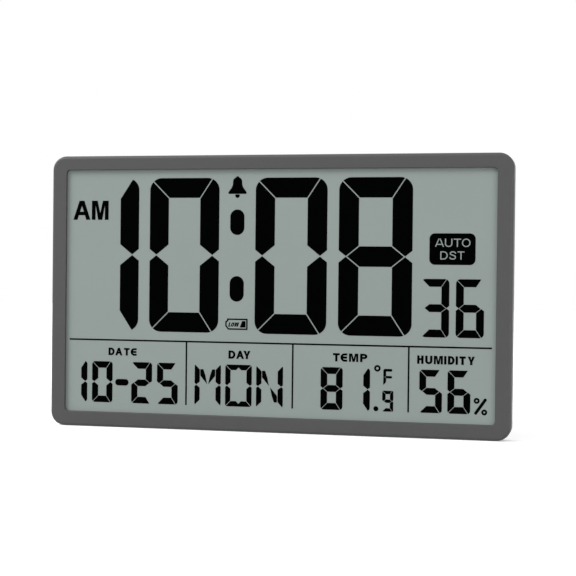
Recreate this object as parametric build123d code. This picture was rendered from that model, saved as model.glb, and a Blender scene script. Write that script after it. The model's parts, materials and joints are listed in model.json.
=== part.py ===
from build123d import *
import math
import os

# Large LCD wall and desk clock with thermometer and hygrometer, in millimetres, +Z up.
# The front faces -Y. X runs along the width, and the clock stands on Z = 0.
# Depths are measured backwards from the front face of the bezel, towards +Y.

# LCD artwork, from left to right along the top row
window_left_margin = 3.6
clock_digit_width = 56.5
clock_digit_gap = 9.05
colon_space = 29.1
seconds_space = 7.1
seconds_digit_width = 21.0
seconds_digit_gap = 5.0
window_right_margin = 9.1

# LCD artwork, from the bottom row up to the clock digits
row_bottom_margin = 7.4
row_digit_height = 32.4
label_height = 6.6
label_drop = 4.6
label_rise = 5.9
divider_drop = 7.3
clock_digit_height = 120.3
clock_top_margin = 6.7

# Strokes, gaps and corners of the dark areas
clock_stroke = 15.4
clock_segment_gap = 0.85
clock_corner_radius = 9.6
seconds_digit_height = 43.8
seconds_stroke = 5.85
seconds_corner_radius = 3.4
fine_segment_gap = 0.45
row_digit_width = 17.1
row_stroke = 5.1
row_corner_radius = 2.5
letter_width = 21.2
letter_stroke = 4.15
letter_corner_radius = 1.9
tenths_digit_width = 8.4
tenths_digit_height = 15.7
tenths_stroke = 2.5
tenths_corner_radius = 1.0
tenths_segment_gap = 0.25
colon_dot_width = 11.3
colon_dot_height = 19.7
colon_dot_spread = 51.6
decimal_dot_radius = 1.9
dash_width = 11.1
dash_height = 5.1
divider_thickness = 1.25
divider_end_margin = 2.9
divider_foot_margin = 7.3

# Widths of the panels of the bottom row and the places inside them
date_panel_width = 97.2
day_panel_width = 85.25
temperature_panel_width = 89.6
date_first_digit_inset = 6.6
date_pair_pitch = 21.2
date_dash_pitch = 16.4
day_letter_inset = 17.5
day_letter_pitch = 24.8
temperature_digit_inset = 30.6
temperature_digit_pitch = 21.1
decimal_dot_pitch = 13.3
tenths_digit_pitch = 22.3
humidity_digit_inset = 16.8
humidity_digit_pitch = 21.2

# Shares of the stroke that shape the ends of a segment, the same in every digit
tip_inset_share = 0.38
notch_share = 0.30
shoulder_share = 0.34
letter_shoulder_share = 0.08
letter_diagonal_share = 0.58
letter_diagonal_rise_share = 1.2
letter_waist_share = 1.0
letter_notch_share = 0.5

# Frame and its walls
side_border = 12.0
top_border = 11.0
bottom_border = 11.8
frame_depth = 28.0
shell_wall = 2.2
shell_depth = 14.8
corner_radius = 11.0
front_edge_radius = 2.5
window_corner_radius = 3.0
window_edge_round = 0.6

# LCD stack behind the window
segment_thickness = 0.08
gasket_thickness = 0.5
gasket_width = 1.5
film_thickness = 0.25
glass_thickness = 1.1
cell_gap = 0.15
reflector_thickness = 0.3
glass_overlap = 2.0
film_inset = 0.4
ledge_height = 4.5
seal_width = 1.6
seal_inset = 0.8

# Clamp frame that holds the LCD in the front shell
clamp_thickness = 3.0
clamp_width = 8.6
clamp_inset = 0.4
clamp_ear_thickness = 2.0
clamp_ear_radius = 2.9
clamp_post_radius = 2.4
clamp_post_inset = 6.4
clamp_post_end_inset = 5.6
clamp_post_spread = 90.0
clamp_screw_radius = 0.85
clamp_screw_head_radius = 1.9
clamp_screw_head_height = 1.2
clamp_screw_length = 5.0

# Ribs that centre the glass
glass_rib_length = 14.0
glass_rib_thickness = 1.2
glass_rib_depth = 2.8
glass_rib_clearance = 0.3
glass_rib_side_spread = 134.0
glass_rib_top_spread = 300.0
glass_rib_middle_spread = 56.0

# Case screws and the bosses that take them
boss_radius = 3.0
boss_depth = 1.4
boss_side_inset = 6.4
boss_corner_inset = 7.5
boss_middle_inset = 5.6
boss_middle_spread = 216.0
case_screw_radius = 1.1
case_screw_head_radius = 2.2
case_screw_head_height = 1.6
case_screw_length = 9.0
case_screw_hole_radius = 1.35
counterbore_radius = 2.45
counterbore_depth = 2.0
thread_clearance = 0.05
clamp_screw_play = 0.2

# Rear cover: plate, lip and raised housing
cover_inset = 0.4
cover_thickness = 2.2
cover_edge_round = 1.4
lip_thickness = 1.4
lip_clearance = 0.25
housing_height = 132.0
housing_centre_rise = 3.0
housing_corner_radius = 9.0
housing_edge_round = 2.4
housing_draft = 4.0
housing_wall = 2.2

# Desk leg, its channel and its hinge
leg_angle = 28.0
channel_width = 52.0
channel_depth = 7.2
leg_side_clearance = 1.0
leg_top_clearance = 1.0
hinge_drop = 6.0
hinge_clearance = 0.6
barrel_radius = 2.9
pin_radius = 1.0
pin_clearance = 0.05
pin_press_clearance = 0.01
pin_grip = 2.0
leg_thickness = 5.0
leg_wall = 1.8
leg_tip_width = 36.0
leg_tip_radius = 6.0
leg_foot_clearance = 6.0
leg_rib_thickness = 1.6
leg_rib_count = 2
heel_width = 30.0
heel_thickness = 2.0
stop_gap = 0.3
foot_pad_width = 24.0
foot_pad_thickness = 1.6
foot_pad_depth = 4.0

# Battery bay, its door and the two AA cells
cell_radius = 7.25
cell_length = 50.5
cell_nub_radius = 2.75
cell_nub_length = 1.0
cell_edge_round = 0.8
cell_spacing = 15.2
cell_side_clearance = 1.2
cell_clearance = 0.3
bay_wall = 1.5
bay_channel_gap = 10.5
bay_side_room = 5.0
spring_length = 4.2
contact_thickness = 0.4
contact_width = 11.0
contact_tab_width = 3.0
contact_tab_length = 3.2
door_half_height = 19.0
door_clearance = 0.3
door_grip = 4.0
tongue_overlap = 1.6
tongue_thickness = 1.1
tongue_width = 3.4
tongue_play = 0.2
door_tab_length = 3.4
door_tab_width = 6.6
door_wrap_depth = 8.5
door_ridge_count = 5
door_ridge_pitch = 2.6
door_ridge_width = 1.0
door_ridge_depth = 0.5
door_ridge_length = 24.0
spring_wire_radius = 0.4
spring_coil_radius = 4.0
spring_tip_radius = 2.2
spring_turns = 3
spring_points_per_turn = 6

# Button panel and push buttons
button_column_offset = 62.0
button_pitch = 15.0
button_lowest_drop = 23.0
button_names = ["mode", "set", "up", "down", "alarm"]
button_radius = 4.0
button_clearance = 0.3
button_rise = 1.4
button_edge_round = 0.6
button_flange_radius = 5.2
button_flange_thickness = 0.8
button_stem_radius = 2.3
button_travel = 0.5
panel_recess = 1.8
panel_width = 20.0
panel_height = 98.0
panel_centre_drop = 3.0
panel_corner_radius = 4.0

# Tact switches and the slide switch on the circuit board
tact_width = 6.0
tact_height = 1.5
tact_corner_radius = 0.6
plunger_radius = 1.4
plunger_clearance = 0.3
plunger_engagement = 0.6
plunger_rise = 0.8
slide_switch_drop = 39.0
slide_switch_length = 9.0
slide_switch_width = 4.4
slide_switch_depth = 3.0
slide_travel = 2.0
lever_length = 2.2
lever_width = 1.6
lever_clearance = 0.3
lever_engagement = 1.4
lever_floor_clearance = 0.4
knob_length = 3.6
knob_width = 3.0
knob_rise = 0.9
knob_groove = 0.4

# Circuit board and what it carries
board_thickness = 1.6
board_channel_gap = 8.0
board_side_room = 5.0
board_end_room = 10.0
board_centre_rise = 1.0
board_corner_radius = 2.0
board_setback = 5.7
board_hole_inset = 4.0
board_hole_radius = 1.3
board_post_radius = 2.6
board_screw_radius = 0.9
board_screw_head_radius = 1.9
board_screw_head_height = 1.2
board_screw_length = 5.4
controller_radius = 9.0
controller_height = 1.4
controller_rise = 2.0
crystal_radius = 1.5
crystal_length = 8.0
crystal_offset = 17.0
crystal_rise = 24.0
capacitor_radius = 2.5
capacitor_length = 7.0
capacitor_offset = 17.0
capacitor_rise = 20.0
capacitor_pitch = 9.0

# Display ribbon
ribbon_thickness = 0.15
ribbon_width = 44.0
ribbon_bend_radius = 1.4
ribbon_loop_rise = 2.3
ribbon_back_gap = 0.9
ribbon_bond_length = 3.4
ribbon_pad_length = 10.0
ribbon_turn_height = 8.0

# Sounder and its holes
sounder_side_gap = 40.0
sounder_rise = 40.0
brass_radius = 13.5
brass_thickness = 0.25
brass_clearance = 0.3
ceramic_radius = 10.0
ceramic_thickness = 0.2
sounder_ring_wall = 1.4
sounder_ring_depth = 2.5
sounder_ledge = 1.4
sound_hole_radius = 1.1
sound_hole_circle = 6.5
sound_hole_count = 6

# Sensor board and its vents
sensor_side_gap = 40.0
sensor_drop = 48.0
sensor_board_width = 16.0
sensor_board_height = 20.0
sensor_board_thickness = 1.0
sensor_post_length = 2.6
sensor_post_radius = 1.8
sensor_post_spread = 13.0
sensor_element_size = 4.0
sensor_element_depth = 1.3
vent_length = 20.0
vent_width = 1.8
vent_pitch = 4.4
vent_count = 6

# Hanger plate and its pocket
hanger_rise = 38.0
hanger_plate_width = 28.0
hanger_plate_height = 36.0
hanger_plate_thickness = 1.2
hanger_plate_radius = 3.0
hanger_plate_inset = 1.0
hanger_plate_clearance = 0.2
hanger_bore_radius = 4.5
hanger_slot_width = 4.4
hanger_slot_rise = 10.0
hanger_pocket_width = 16.0
hanger_pocket_depth = 4.6
hanger_pocket_margin = 7.0
hanger_screw_spread = 22.0
hanger_screw_drop = 6.0
hanger_screw_radius = 0.9
hanger_screw_head_radius = 1.8
hanger_screw_head_height = 0.8
hanger_screw_length = 3.4
hanger_screw_hole_radius = 1.1
hanger_pilot_depth = 3.0
hanger_post_radius = 2.4
hanger_post_length = 3.4

# Wires
wire_radius = 0.55
wire_share = 0.42
wire_spacing = 3.0
wire_lift = 3.0
wire_inset = 4.0
sensor_wire_count = 4
sensor_wire_rise = 12.0

# One overrun serves every cut
overrun = 1.0

# Sizes worked out from the values above
window_width = (
    window_left_margin
    + 4 * clock_digit_width
    + 2 * clock_digit_gap
    + colon_space
    + seconds_space
    + 2 * seconds_digit_width
    + seconds_digit_gap
    + window_right_margin
)
window_height = (
    row_bottom_margin
    + row_digit_height
    + label_drop
    + label_height
    + label_rise
    + divider_drop
    + clock_digit_height
    + clock_top_margin
)
frame_width = window_width + 2 * side_border
frame_height = window_height + bottom_border + top_border
window_bottom = bottom_border
window_centre_height = window_bottom + window_height / 2
front = -frame_depth / 2
cover_back = shell_depth + cover_thickness
housing_centre_height = frame_height / 2 + housing_centre_rise
hinge_height = housing_centre_height - hinge_drop
hanger_height = housing_centre_height + hanger_rise
panel_centre_height = housing_centre_height - panel_centre_drop
button_lowest_height = panel_centre_height - button_lowest_drop
slide_switch_height = panel_centre_height - slide_switch_drop
board_centre_height = panel_centre_height + board_centre_rise
housing_back = frame_depth
housing_inner_back = frame_depth - housing_wall
channel_floor = housing_back - channel_depth
hinge_depth = channel_floor + hinge_clearance + barrel_radius
panel_face = housing_back - panel_recess
panel_inner = panel_face - housing_wall
board_back = housing_inner_back - board_setback
board_front = board_back - board_thickness
film_front = shell_wall + gasket_thickness
glass_front = film_front + film_thickness
cell_front = glass_front + glass_thickness
rear_glass_front = cell_front + cell_gap
reflector_front = rear_glass_front + glass_thickness
clamp_front = reflector_front + reflector_thickness
clamp_ear_back = clamp_front + clamp_ear_thickness
clamp_back = clamp_front + clamp_thickness
glass_width = window_width + 2 * glass_overlap
glass_height = window_height + 2 * glass_overlap
glass_top = window_centre_height + glass_height / 2
boss_top = shell_depth - boss_depth
bay_depth_centre = housing_inner_back - door_clearance - cell_radius
bay_floor = bay_depth_centre - cell_radius - cell_clearance
bay_half_height = cell_spacing / 2 + cell_radius + cell_side_clearance
bay_length = 2 * contact_thickness + spring_length + cell_length
bay_left_edge = channel_width / 2 + bay_channel_gap
bay_right_edge = bay_left_edge + bay_length
housing_width = 2 * (bay_right_edge + bay_side_room)
board_left = -housing_width / 2 + board_side_room
board_right = -channel_width / 2 - board_channel_gap
board_width = board_right - board_left
board_height = housing_height - 2 * board_end_room
board_centre_offset = -(board_left + board_right) / 2
sounder_offset = housing_width / 2 + sounder_side_gap
sounder_height = housing_centre_height + sounder_rise
sensor_offset = housing_width / 2 + sensor_side_gap
sensor_height = housing_centre_height - sensor_drop
bay_top = housing_inner_back - tongue_thickness - 2 * tongue_play
door_left_edge = bay_left_edge - bay_wall


def place(x, depth, z):
    """Point of the clock at a depth behind its front face."""
    return (x, front + depth, z)


def slab(outline, near, far, x=0, z=0):
    """Extrude an outline drawn as seen from the front between two depths."""
    plane = Plane(origin=place(x, far, z), x_dir=(1, 0, 0), z_dir=(0, -1, 0))
    return extrude(plane * outline, amount=far - near)


def drafted(outline, near, far, x=0, z=0):
    """Extrude a symmetric outline backwards with the housing's draft."""
    plane = Plane(origin=place(x, near, z), x_dir=(1, 0, 0), z_dir=(0, 1, 0))
    return extrude(plane * outline, amount=far - near, taper=housing_draft)


def span_box(left, right, near, far, bottom, top):
    """Box between named edges."""
    outline = Rectangle(right - left, top - bottom)
    return slab(outline, near, far, (left + right) / 2, (bottom + top) / 2)


def disc(radius, near, far, x, z):
    """Round bar or hole along the depth."""
    return slab(Circle(radius), near, far, x, z)


def joined(shapes):
    """One group made of separate solids."""
    solids = []
    for shape in shapes:
        solids.extend(shape.solids())
    return Compound(children=solids)


def save(shape, node):
    """Write one node."""
    shape.label = node
    export_step(shape, "parts/" + node + ".step")


def wire_radii(points):
    """Bend radii as large as the runs beside each corner allow."""
    radii = []
    for before, corner, after in zip(points, points[1:], points[2:]):
        run_in = Vector(*corner) - Vector(*before)
        run_out = Vector(*after) - Vector(*corner)
        half_turn = math.radians(run_in.get_angle(run_out)) / 2
        shorter = min(run_in.length, run_out.length)
        radii.append(wire_share * shorter / math.tan(half_turn))
    return radii


def wire_along(points, radius=wire_radius):
    """Round wire along straight runs joined by tangent arcs."""
    path = FilletPolyline(*points, radius=wire_radii(points))
    section = Plane(origin=path @ 0, z_dir=path % 0) * Circle(radius)
    return sweep(section, path=path)


# Display artwork


def strip(start, end, width):
    """Thin strip along a line, run a little past both ends."""
    direction = (Vector(*end) - Vector(*start)).normalized()
    side = Vector(-direction.Y, direction.X) * (width / 2)
    first = Vector(*start) - direction * (width / 2)
    last = Vector(*end) + direction * (width / 2)
    return make_face(Polyline(first + side, last + side, last - side, first - side, close=True))


def region(points):
    """Closed outline through points."""
    return make_face(Polyline(*points, close=True))


def mirrored_points(points, across_x=False, across_z=False):
    """The same outline on the other side of the digit."""
    turn_x = -1 if across_x else 1
    turn_z = -1 if across_z else 1
    return [(x * turn_x, z * turn_z) for x, z in points]


def segment_regions(width, height, stroke, shoulder):
    """Outlines of the seven segments, before the gaps and round corners are cut."""
    left, right, top = -width / 2, width / 2, height / 2
    inner_left, inner_right, inner_top = left + stroke, right - stroke, top - stroke
    half = stroke / 2
    left_tip = left + tip_inset_share * stroke
    right_tip = right - tip_inset_share * stroke
    notch = notch_share * stroke
    corner = right - shoulder * stroke
    upper_bar = [(left, top), (corner, top), (inner_right, inner_top), (inner_left, inner_top)]
    upper_right = [
        (corner, top),
        (right, top),
        (right, notch),
        (right_tip, 0),
        (inner_right, half),
        (inner_right, inner_top),
    ]
    upper_left = [
        (left, top),
        (inner_left, inner_top),
        (inner_left, half),
        (left_tip, 0),
        (left, notch),
    ]
    middle_bar = [
        (left_tip, 0),
        (inner_left, half),
        (inner_right, half),
        (right_tip, 0),
        (inner_right, -half),
        (inner_left, -half),
    ]
    return {
        "a": upper_bar,
        "b": upper_right,
        "c": mirrored_points(upper_right, across_z=True),
        "d": mirrored_points(upper_bar, across_z=True),
        "e": mirrored_points(upper_left, across_z=True),
        "f": upper_left,
        "g": middle_bar,
    }


def segment_gaps(width, height, stroke, gap, shoulder):
    """Thin strips that part neighbouring segments."""
    left, right, top = -width / 2, width / 2, height / 2
    inner_left, inner_right, inner_top = left + stroke, right - stroke, top - stroke
    left_tip = left + tip_inset_share * stroke
    right_tip = right - tip_inset_share * stroke
    corner = right - shoulder * stroke
    lines = []
    for side in (1, -1):
        lines.append(((left, side * top), (inner_left, side * inner_top)))
        lines.append(((corner, side * top), (inner_right, side * inner_top)))
        lines.append(((inner_left, side * stroke / 2), (left_tip, 0)))
        lines.append(((inner_right, side * stroke / 2), (right_tip, 0)))
    return [strip(start, end, gap) for start, end in lines]


LIT_SEGMENTS = {
    "0": "abcdef",
    "1": "bc",
    "2": "abged",
    "3": "abgcd",
    "5": "afgcd",
    "6": "afgcde",
    "8": "abcdefg",
    "9": "abcdfg",
    "M": "bcef",
    "N": "bcef",
    "O": "abcdef",
}


def glyph(character, width, height, stroke, gap, radius, shoulder=shoulder_share):
    """Lit segments of one digit or letter, centred on its cell."""
    cell = RectangleRounded(width, height, radius)
    regions = segment_regions(width, height, stroke, shoulder)
    gaps = segment_gaps(width, height, stroke, gap, shoulder)
    faces = []
    for name in LIT_SEGMENTS[character]:
        lit = region(regions[name]) & cell
        for line in gaps:
            lit = lit - line
        faces.extend(lit.faces())
    return faces


def letter_diagonal(width, height, stroke, gap):
    """Diagonal bar from the upper left corner of a letter to its middle, widest at its waist."""
    left = -width / 2 + stroke + gap
    top = height / 2 - stroke
    thickness = letter_diagonal_share * stroke
    waist_height = top - letter_diagonal_rise_share * stroke
    waist = left + letter_waist_share * stroke
    return [
        (left, top),
        (left + thickness, top),
        (waist, waist_height),
        (-gap, gap),
        (left, waist_height),
    ]


def letter(character, width, height, stroke, gap, radius):
    """Lit segments of one letter of the day."""
    faces = glyph(character, width, height, stroke, gap, radius, letter_shoulder_share)
    diagonal = letter_diagonal(width, height, stroke, gap)
    if character == "M":
        faces.append(region(diagonal))
        faces.append(region(mirrored_points(diagonal, across_x=True)))
    if character == "N":
        faces.append(region(diagonal))
        faces.append(region(mirrored_points(diagonal, across_x=True, across_z=True)))
    if character == "O":
        reach = letter_notch_share * stroke
        inner = height / 2 - stroke
        notch = region([(-reach, inner), (0, inner + reach), (reach, inner)])
        lower_notch = mirror(notch, about=Plane.XZ)
        faces = [face - notch - lower_notch for face in faces]
    return faces


def layer(faces, x, z):
    """Dark areas as a thin layer on the front of the film."""
    near = film_front - segment_thickness
    return [slab(face, near, film_front, x, z) for face in faces]


def clock_row():
    """Hours, colon and minutes."""
    size = (
        clock_digit_width,
        clock_digit_height,
        clock_stroke,
        clock_segment_gap,
        clock_corner_radius,
    )
    pitch = clock_digit_width + clock_digit_gap
    centre_height = window_bottom + window_height - clock_top_margin - clock_digit_height / 2
    hours_tens = -window_width / 2 + window_left_margin + clock_digit_width / 2
    hours_ones = hours_tens + pitch
    colon = hours_ones + clock_digit_width / 2 + colon_space / 2
    minutes_tens = colon + colon_space / 2 + clock_digit_width / 2
    minutes_ones = minutes_tens + pitch
    solids = []
    for character, x in zip("1008", (hours_tens, hours_ones, minutes_tens, minutes_ones)):
        solids += layer(glyph(character, *size), x, centre_height)
    dot = SlotOverall(colon_dot_height, colon_dot_width, rotation=90)
    for side in (1, -1):
        solids += layer(dot.faces(), colon, centre_height + side * colon_dot_spread / 2)
    return solids


def seconds_row():
    """Two small digits at the right, on the same baseline as the clock digits."""
    size = (
        seconds_digit_width,
        seconds_digit_height,
        seconds_stroke,
        fine_segment_gap,
        seconds_corner_radius,
    )
    baseline = window_bottom + window_height - clock_top_margin - clock_digit_height
    ones = window_width / 2 - window_right_margin - seconds_digit_width / 2
    tens = ones - seconds_digit_width - seconds_digit_gap
    solids = []
    for character, x in zip("36", (tens, ones)):
        solids += layer(glyph(character, *size), x, baseline + seconds_digit_height / 2)
    return solids


def panel_edges():
    """Left edge of each panel of the bottom row."""
    date = -window_width / 2 + divider_end_margin
    day = date + date_panel_width
    temperature = day + day_panel_width
    humidity = temperature + temperature_panel_width
    return date, day, temperature, humidity


def bottom_row():
    """Date, day, temperature and humidity."""
    size = (row_digit_width, row_digit_height, row_stroke, fine_segment_gap, row_corner_radius)
    letter_size = (
        letter_width,
        row_digit_height,
        letter_stroke,
        fine_segment_gap,
        letter_corner_radius,
    )
    tenths_size = (
        tenths_digit_width,
        tenths_digit_height,
        tenths_stroke,
        tenths_segment_gap,
        tenths_corner_radius,
    )
    baseline = window_bottom + row_bottom_margin
    middle = baseline + row_digit_height / 2
    date, day, temperature, humidity = panel_edges()
    solids = []
    month_tens = date + date_first_digit_inset
    month_ones = month_tens + date_pair_pitch
    dash_place = month_ones + date_dash_pitch
    day_tens = dash_place + date_dash_pitch
    day_ones = day_tens + date_pair_pitch
    for character, x in zip("1025", (month_tens, month_ones, day_tens, day_ones)):
        solids += layer(glyph(character, *size), x, middle)
    dash = SlotOverall(dash_width, dash_height)
    solids += layer(dash.faces(), dash_place, middle)
    for position, character in enumerate("MON"):
        x = day + day_letter_inset + position * day_letter_pitch
        solids += layer(letter(character, *letter_size), x, middle)
    degrees = temperature + temperature_digit_inset
    for position, character in enumerate("81"):
        x = degrees + position * temperature_digit_pitch
        solids += layer(glyph(character, *size), x, middle)
    dot_place = degrees + temperature_digit_pitch + decimal_dot_pitch
    tenths_place = degrees + temperature_digit_pitch + tenths_digit_pitch
    dot = Circle(decimal_dot_radius)
    solids += layer(dot.faces(), dot_place, baseline + decimal_dot_radius)
    tenths = glyph("9", *tenths_size)
    solids += layer(tenths, tenths_place, baseline + tenths_digit_height / 2)
    for position, character in enumerate("56"):
        x = humidity + humidity_digit_inset + position * humidity_digit_pitch
        solids += layer(glyph(character, *size), x, middle)
    return solids


def divider_lines():
    """Line under the clock digits and the three lines that part the bottom row."""
    height = window_bottom + window_height - clock_top_margin - clock_digit_height - divider_drop
    foot = window_bottom + divider_foot_margin
    reach = window_width / 2 - divider_end_margin
    near = film_front - segment_thickness
    half = divider_thickness / 2
    lines = span_box(-reach, reach, near, film_front, height - half, height + half)
    for edge in panel_edges()[1:]:
        lines += span_box(edge - half, edge + half, near, film_front, foot, height)
    return lines


def lcd_segments():
    """All dark areas of the display."""
    return joined(clock_row() + seconds_row() + bottom_row() + [divider_lines()])


# Front shell and LCD stack


def frame_outline(inset=0.0):
    """Outer outline of the clock, moved inwards."""
    return RectangleRounded(
        frame_width - 2 * inset,
        frame_height - 2 * inset,
        corner_radius - inset,
    )


def boss_places():
    """Places of the eight case screws."""
    side = frame_width / 2 - boss_side_inset
    places = []
    for x in (-side, side):
        places.append((x, boss_corner_inset))
        places.append((x, frame_height - boss_corner_inset))
    for x in (-boss_middle_spread / 2, boss_middle_spread / 2):
        places.append((x, boss_middle_inset))
        places.append((x, frame_height - boss_middle_inset))
    return places


def clamp_post_places():
    """Places of the six clamp screws."""
    side = frame_width / 2 - clamp_post_inset
    middle = window_centre_height
    places = []
    for x in (-side, side):
        places.append((x, middle - clamp_post_spread / 2))
        places.append((x, middle + clamp_post_spread / 2))
    places.append((0, clamp_post_end_inset))
    places.append((0, frame_height - clamp_post_end_inset))
    return places


def glass_ribs():
    """Short ribs round the glass that centre it in the shell."""
    far = shell_wall + glass_rib_depth
    side = glass_width / 2 + glass_rib_clearance
    ribs = []
    for x_side in (1, -1):
        near_x = x_side * side
        far_x = x_side * (side + glass_rib_thickness)
        for z_side in (1, -1):
            middle = window_centre_height + z_side * glass_rib_side_spread / 2
            rib = Rectangle(glass_rib_thickness, glass_rib_length)
            ribs.append(slab(rib, shell_wall, far, (near_x + far_x) / 2, middle))
    for spread in (glass_rib_top_spread, glass_rib_middle_spread):
        for x_side in (1, -1):
            for z_side in (1, -1):
                reach = glass_height / 2 + glass_rib_clearance + glass_rib_thickness / 2
                rib = Rectangle(glass_rib_length, glass_rib_thickness)
                middle = window_centre_height + z_side * reach
                ribs.append(slab(rib, shell_wall, far, x_side * spread / 2, middle))
    return ribs


def is_window_edge(edge):
    """Whether an edge of the front face belongs to the window."""
    centre = edge.center()
    beside = abs(centre.X) < (window_width + side_border) / 2
    above = bottom_border / 2 < centre.Z < frame_height - top_border / 2
    return beside and above


def front_shell():
    """Bezel and side walls in one moulding, with its bosses, posts and ribs."""
    middle = frame_height / 2
    shell = slab(frame_outline(), 0, shell_depth, 0, middle)
    front_edges = shell.edges().group_by(Axis.Y)[0]
    shell = fillet(front_edges, front_edge_radius)
    cavity = slab(frame_outline(shell_wall), shell_wall, shell_depth + overrun, 0, middle)
    shell -= cavity
    opening = RectangleRounded(window_width, window_height, window_corner_radius)
    window = slab(opening, -overrun, shell_wall + overrun, 0, window_centre_height)
    shell -= window
    rim = shell.edges().group_by(Axis.Y)[0]
    shell = fillet(rim.filter_by(is_window_edge), window_edge_round)
    for x, z in boss_places():
        shell += disc(boss_radius, shell_wall, boss_top, x, z)
    for x, z in clamp_post_places():
        shell += disc(clamp_post_radius, shell_wall, clamp_front, x, z)
    for rib in glass_ribs():
        shell += rib
    screw_tip = counterbore_seat() - case_screw_length - thread_clearance
    for x, z in boss_places():
        shell -= disc(case_screw_radius + thread_clearance, screw_tip, boss_top + overrun, x, z)
    clamp_tip = clamp_ear_back - clamp_screw_length - thread_clearance
    for x, z in clamp_post_places():
        pilot = clamp_screw_radius + thread_clearance
        shell -= disc(pilot, clamp_tip, clamp_front + overrun, x, z)
    return shell


def counterbore_seat():
    """Depth of the seat under a case screw's head."""
    return cover_back - counterbore_depth


def glass_outline(inset=0.0):
    """Outline of the LCD glass, moved inwards."""
    return Rectangle(glass_width - 2 * inset, glass_height - 2 * inset)


def foam_gasket():
    """Foam strip between the bezel and the LCD."""
    ring = glass_outline() - glass_outline(gasket_width)
    return slab(ring, shell_wall, film_front, 0, window_centre_height)


def front_polariser():
    """Film on the front of the LCD, the grey field that one sees."""
    return slab(glass_outline(film_inset), film_front, glass_front, 0, window_centre_height)


def lcd_front_glass():
    """Front glass, with the ledge at its top that the ribbon is bonded to."""
    return slab(glass_outline(), glass_front, cell_front, 0, window_centre_height)


def rear_glass_outline(inset=0.0):
    """Outline of the rear glass, which leaves the ledge free."""
    return Rectangle(glass_width - 2 * inset, glass_height - ledge_height - 2 * inset)


def rear_glass_middle():
    """Height of the middle of the rear glass."""
    return window_centre_height - ledge_height / 2


def lcd_seal():
    """Seal ring in the cell gap."""
    ring = rear_glass_outline(seal_inset) - rear_glass_outline(seal_inset + seal_width)
    return slab(ring, cell_front, rear_glass_front, 0, rear_glass_middle())


def lcd_rear_glass():
    """Rear glass."""
    return slab(rear_glass_outline(), rear_glass_front, reflector_front, 0, rear_glass_middle())


def reflector_film():
    """Reflective rear polariser."""
    outline = rear_glass_outline(film_inset)
    return slab(outline, reflector_front, clamp_front, 0, rear_glass_middle())


def clamp_ear(x, z):
    """Ear that reaches from the clamp ring to its post."""
    inner_x = glass_width / 2 - clamp_width / 2
    inner_z = glass_height / 2 - clamp_width / 2
    if x == 0:
        side = 1 if z > window_centre_height else -1
        root = window_centre_height + side * inner_z
        arm = span_box(
            -clamp_ear_radius,
            clamp_ear_radius,
            clamp_front,
            clamp_ear_back,
            min(root, z),
            max(root, z),
        )
    else:
        side = 1 if x > 0 else -1
        root = side * inner_x
        arm = span_box(
            min(root, x),
            max(root, x),
            clamp_front,
            clamp_ear_back,
            z - clamp_ear_radius,
            z + clamp_ear_radius,
        )
    return arm + disc(clamp_ear_radius, clamp_front, clamp_ear_back, x, z)


def lcd_clamp_frame():
    """Frame behind the LCD that presses it against the gasket."""
    ring = glass_outline(clamp_inset) - glass_outline(clamp_inset + clamp_width)
    frame = slab(ring, clamp_front, clamp_back, 0, window_centre_height)
    for x, z in clamp_post_places():
        frame += clamp_ear(x, z)
    for x, z in clamp_post_places():
        hole = clamp_screw_radius + clamp_screw_play
        frame -= disc(hole, clamp_front - overrun, clamp_ear_back + overrun, x, z)
    return frame


def screw(radius, head_radius, head_height, length, seat, x, z, backwards=True):
    """Pan head screw with its head on a seat, driven from the back or from the front."""
    if backwards:
        head = disc(head_radius, seat, seat + head_height, x, z)
        shank = disc(radius, seat - length, seat, x, z)
    else:
        head = disc(head_radius, seat - head_height, seat, x, z)
        shank = disc(radius, seat, seat + length, x, z)
    return head + shank


def clamp_screws():
    """Six small screws of the clamp frame."""
    return joined(
        screw(
            clamp_screw_radius,
            clamp_screw_head_radius,
            clamp_screw_head_height,
            clamp_screw_length,
            clamp_ear_back,
            x,
            z,
        )
        for x, z in clamp_post_places()
    )


# Rear cover


def drafted_half_width(depth):
    """Half the width of the housing's outside at a depth."""
    return housing_width / 2 - (depth - cover_back) * math.tan(math.radians(housing_draft))


def housing_outside():
    """Outside of the raised housing."""
    outline = RectangleRounded(housing_width, housing_height, housing_corner_radius)
    body = drafted(outline, cover_back, housing_back, 0, housing_centre_height)
    return fillet(body.edges().group_by(Axis.Y)[-1], housing_edge_round)


def housing_inside():
    """Hollow of the raised housing, open towards the front."""
    width = housing_width - 2 * housing_wall
    height = housing_height - 2 * housing_wall
    radius = housing_corner_radius - housing_wall
    outline = RectangleRounded(width, height, radius)
    shallow = slab(outline, shell_depth - overrun, cover_back, 0, housing_centre_height)
    body = drafted(outline, cover_back, housing_inner_back, 0, housing_centre_height)
    return shallow + body


def channel_space(grow=0.0):
    """Channel that the folded leg lies in, open at the bottom of the housing."""
    half = channel_width / 2 + grow
    top = hinge_height + heel_reach() + leg_top_clearance + grow
    bottom = housing_centre_height - housing_height / 2 - overrun
    return span_box(-half, half, channel_floor - grow, housing_back + overrun, bottom, top)


def panel_space(grow=0.0):
    """Shallow recess round the buttons."""
    outline = RectangleRounded(
        panel_width + 2 * grow,
        panel_height + 2 * grow,
        panel_corner_radius + grow,
    )
    far = housing_back + overrun
    return slab(outline, panel_face - grow, far, -button_column_offset, panel_centre_height)


def hanger_plate_outline(grow=0.0):
    """Outline of the hanger plate and its seat."""
    return RectangleRounded(
        hanger_plate_width + 2 * grow,
        hanger_plate_height + 2 * grow,
        hanger_plate_radius + grow,
    )


def hanger_plate_front():
    """Depth of the seat of the hanger plate."""
    return housing_back - hanger_plate_inset - hanger_plate_thickness


def hanger_middle():
    """Height of the middle of the hanger plate."""
    return hanger_height + hanger_slot_rise / 2


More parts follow.
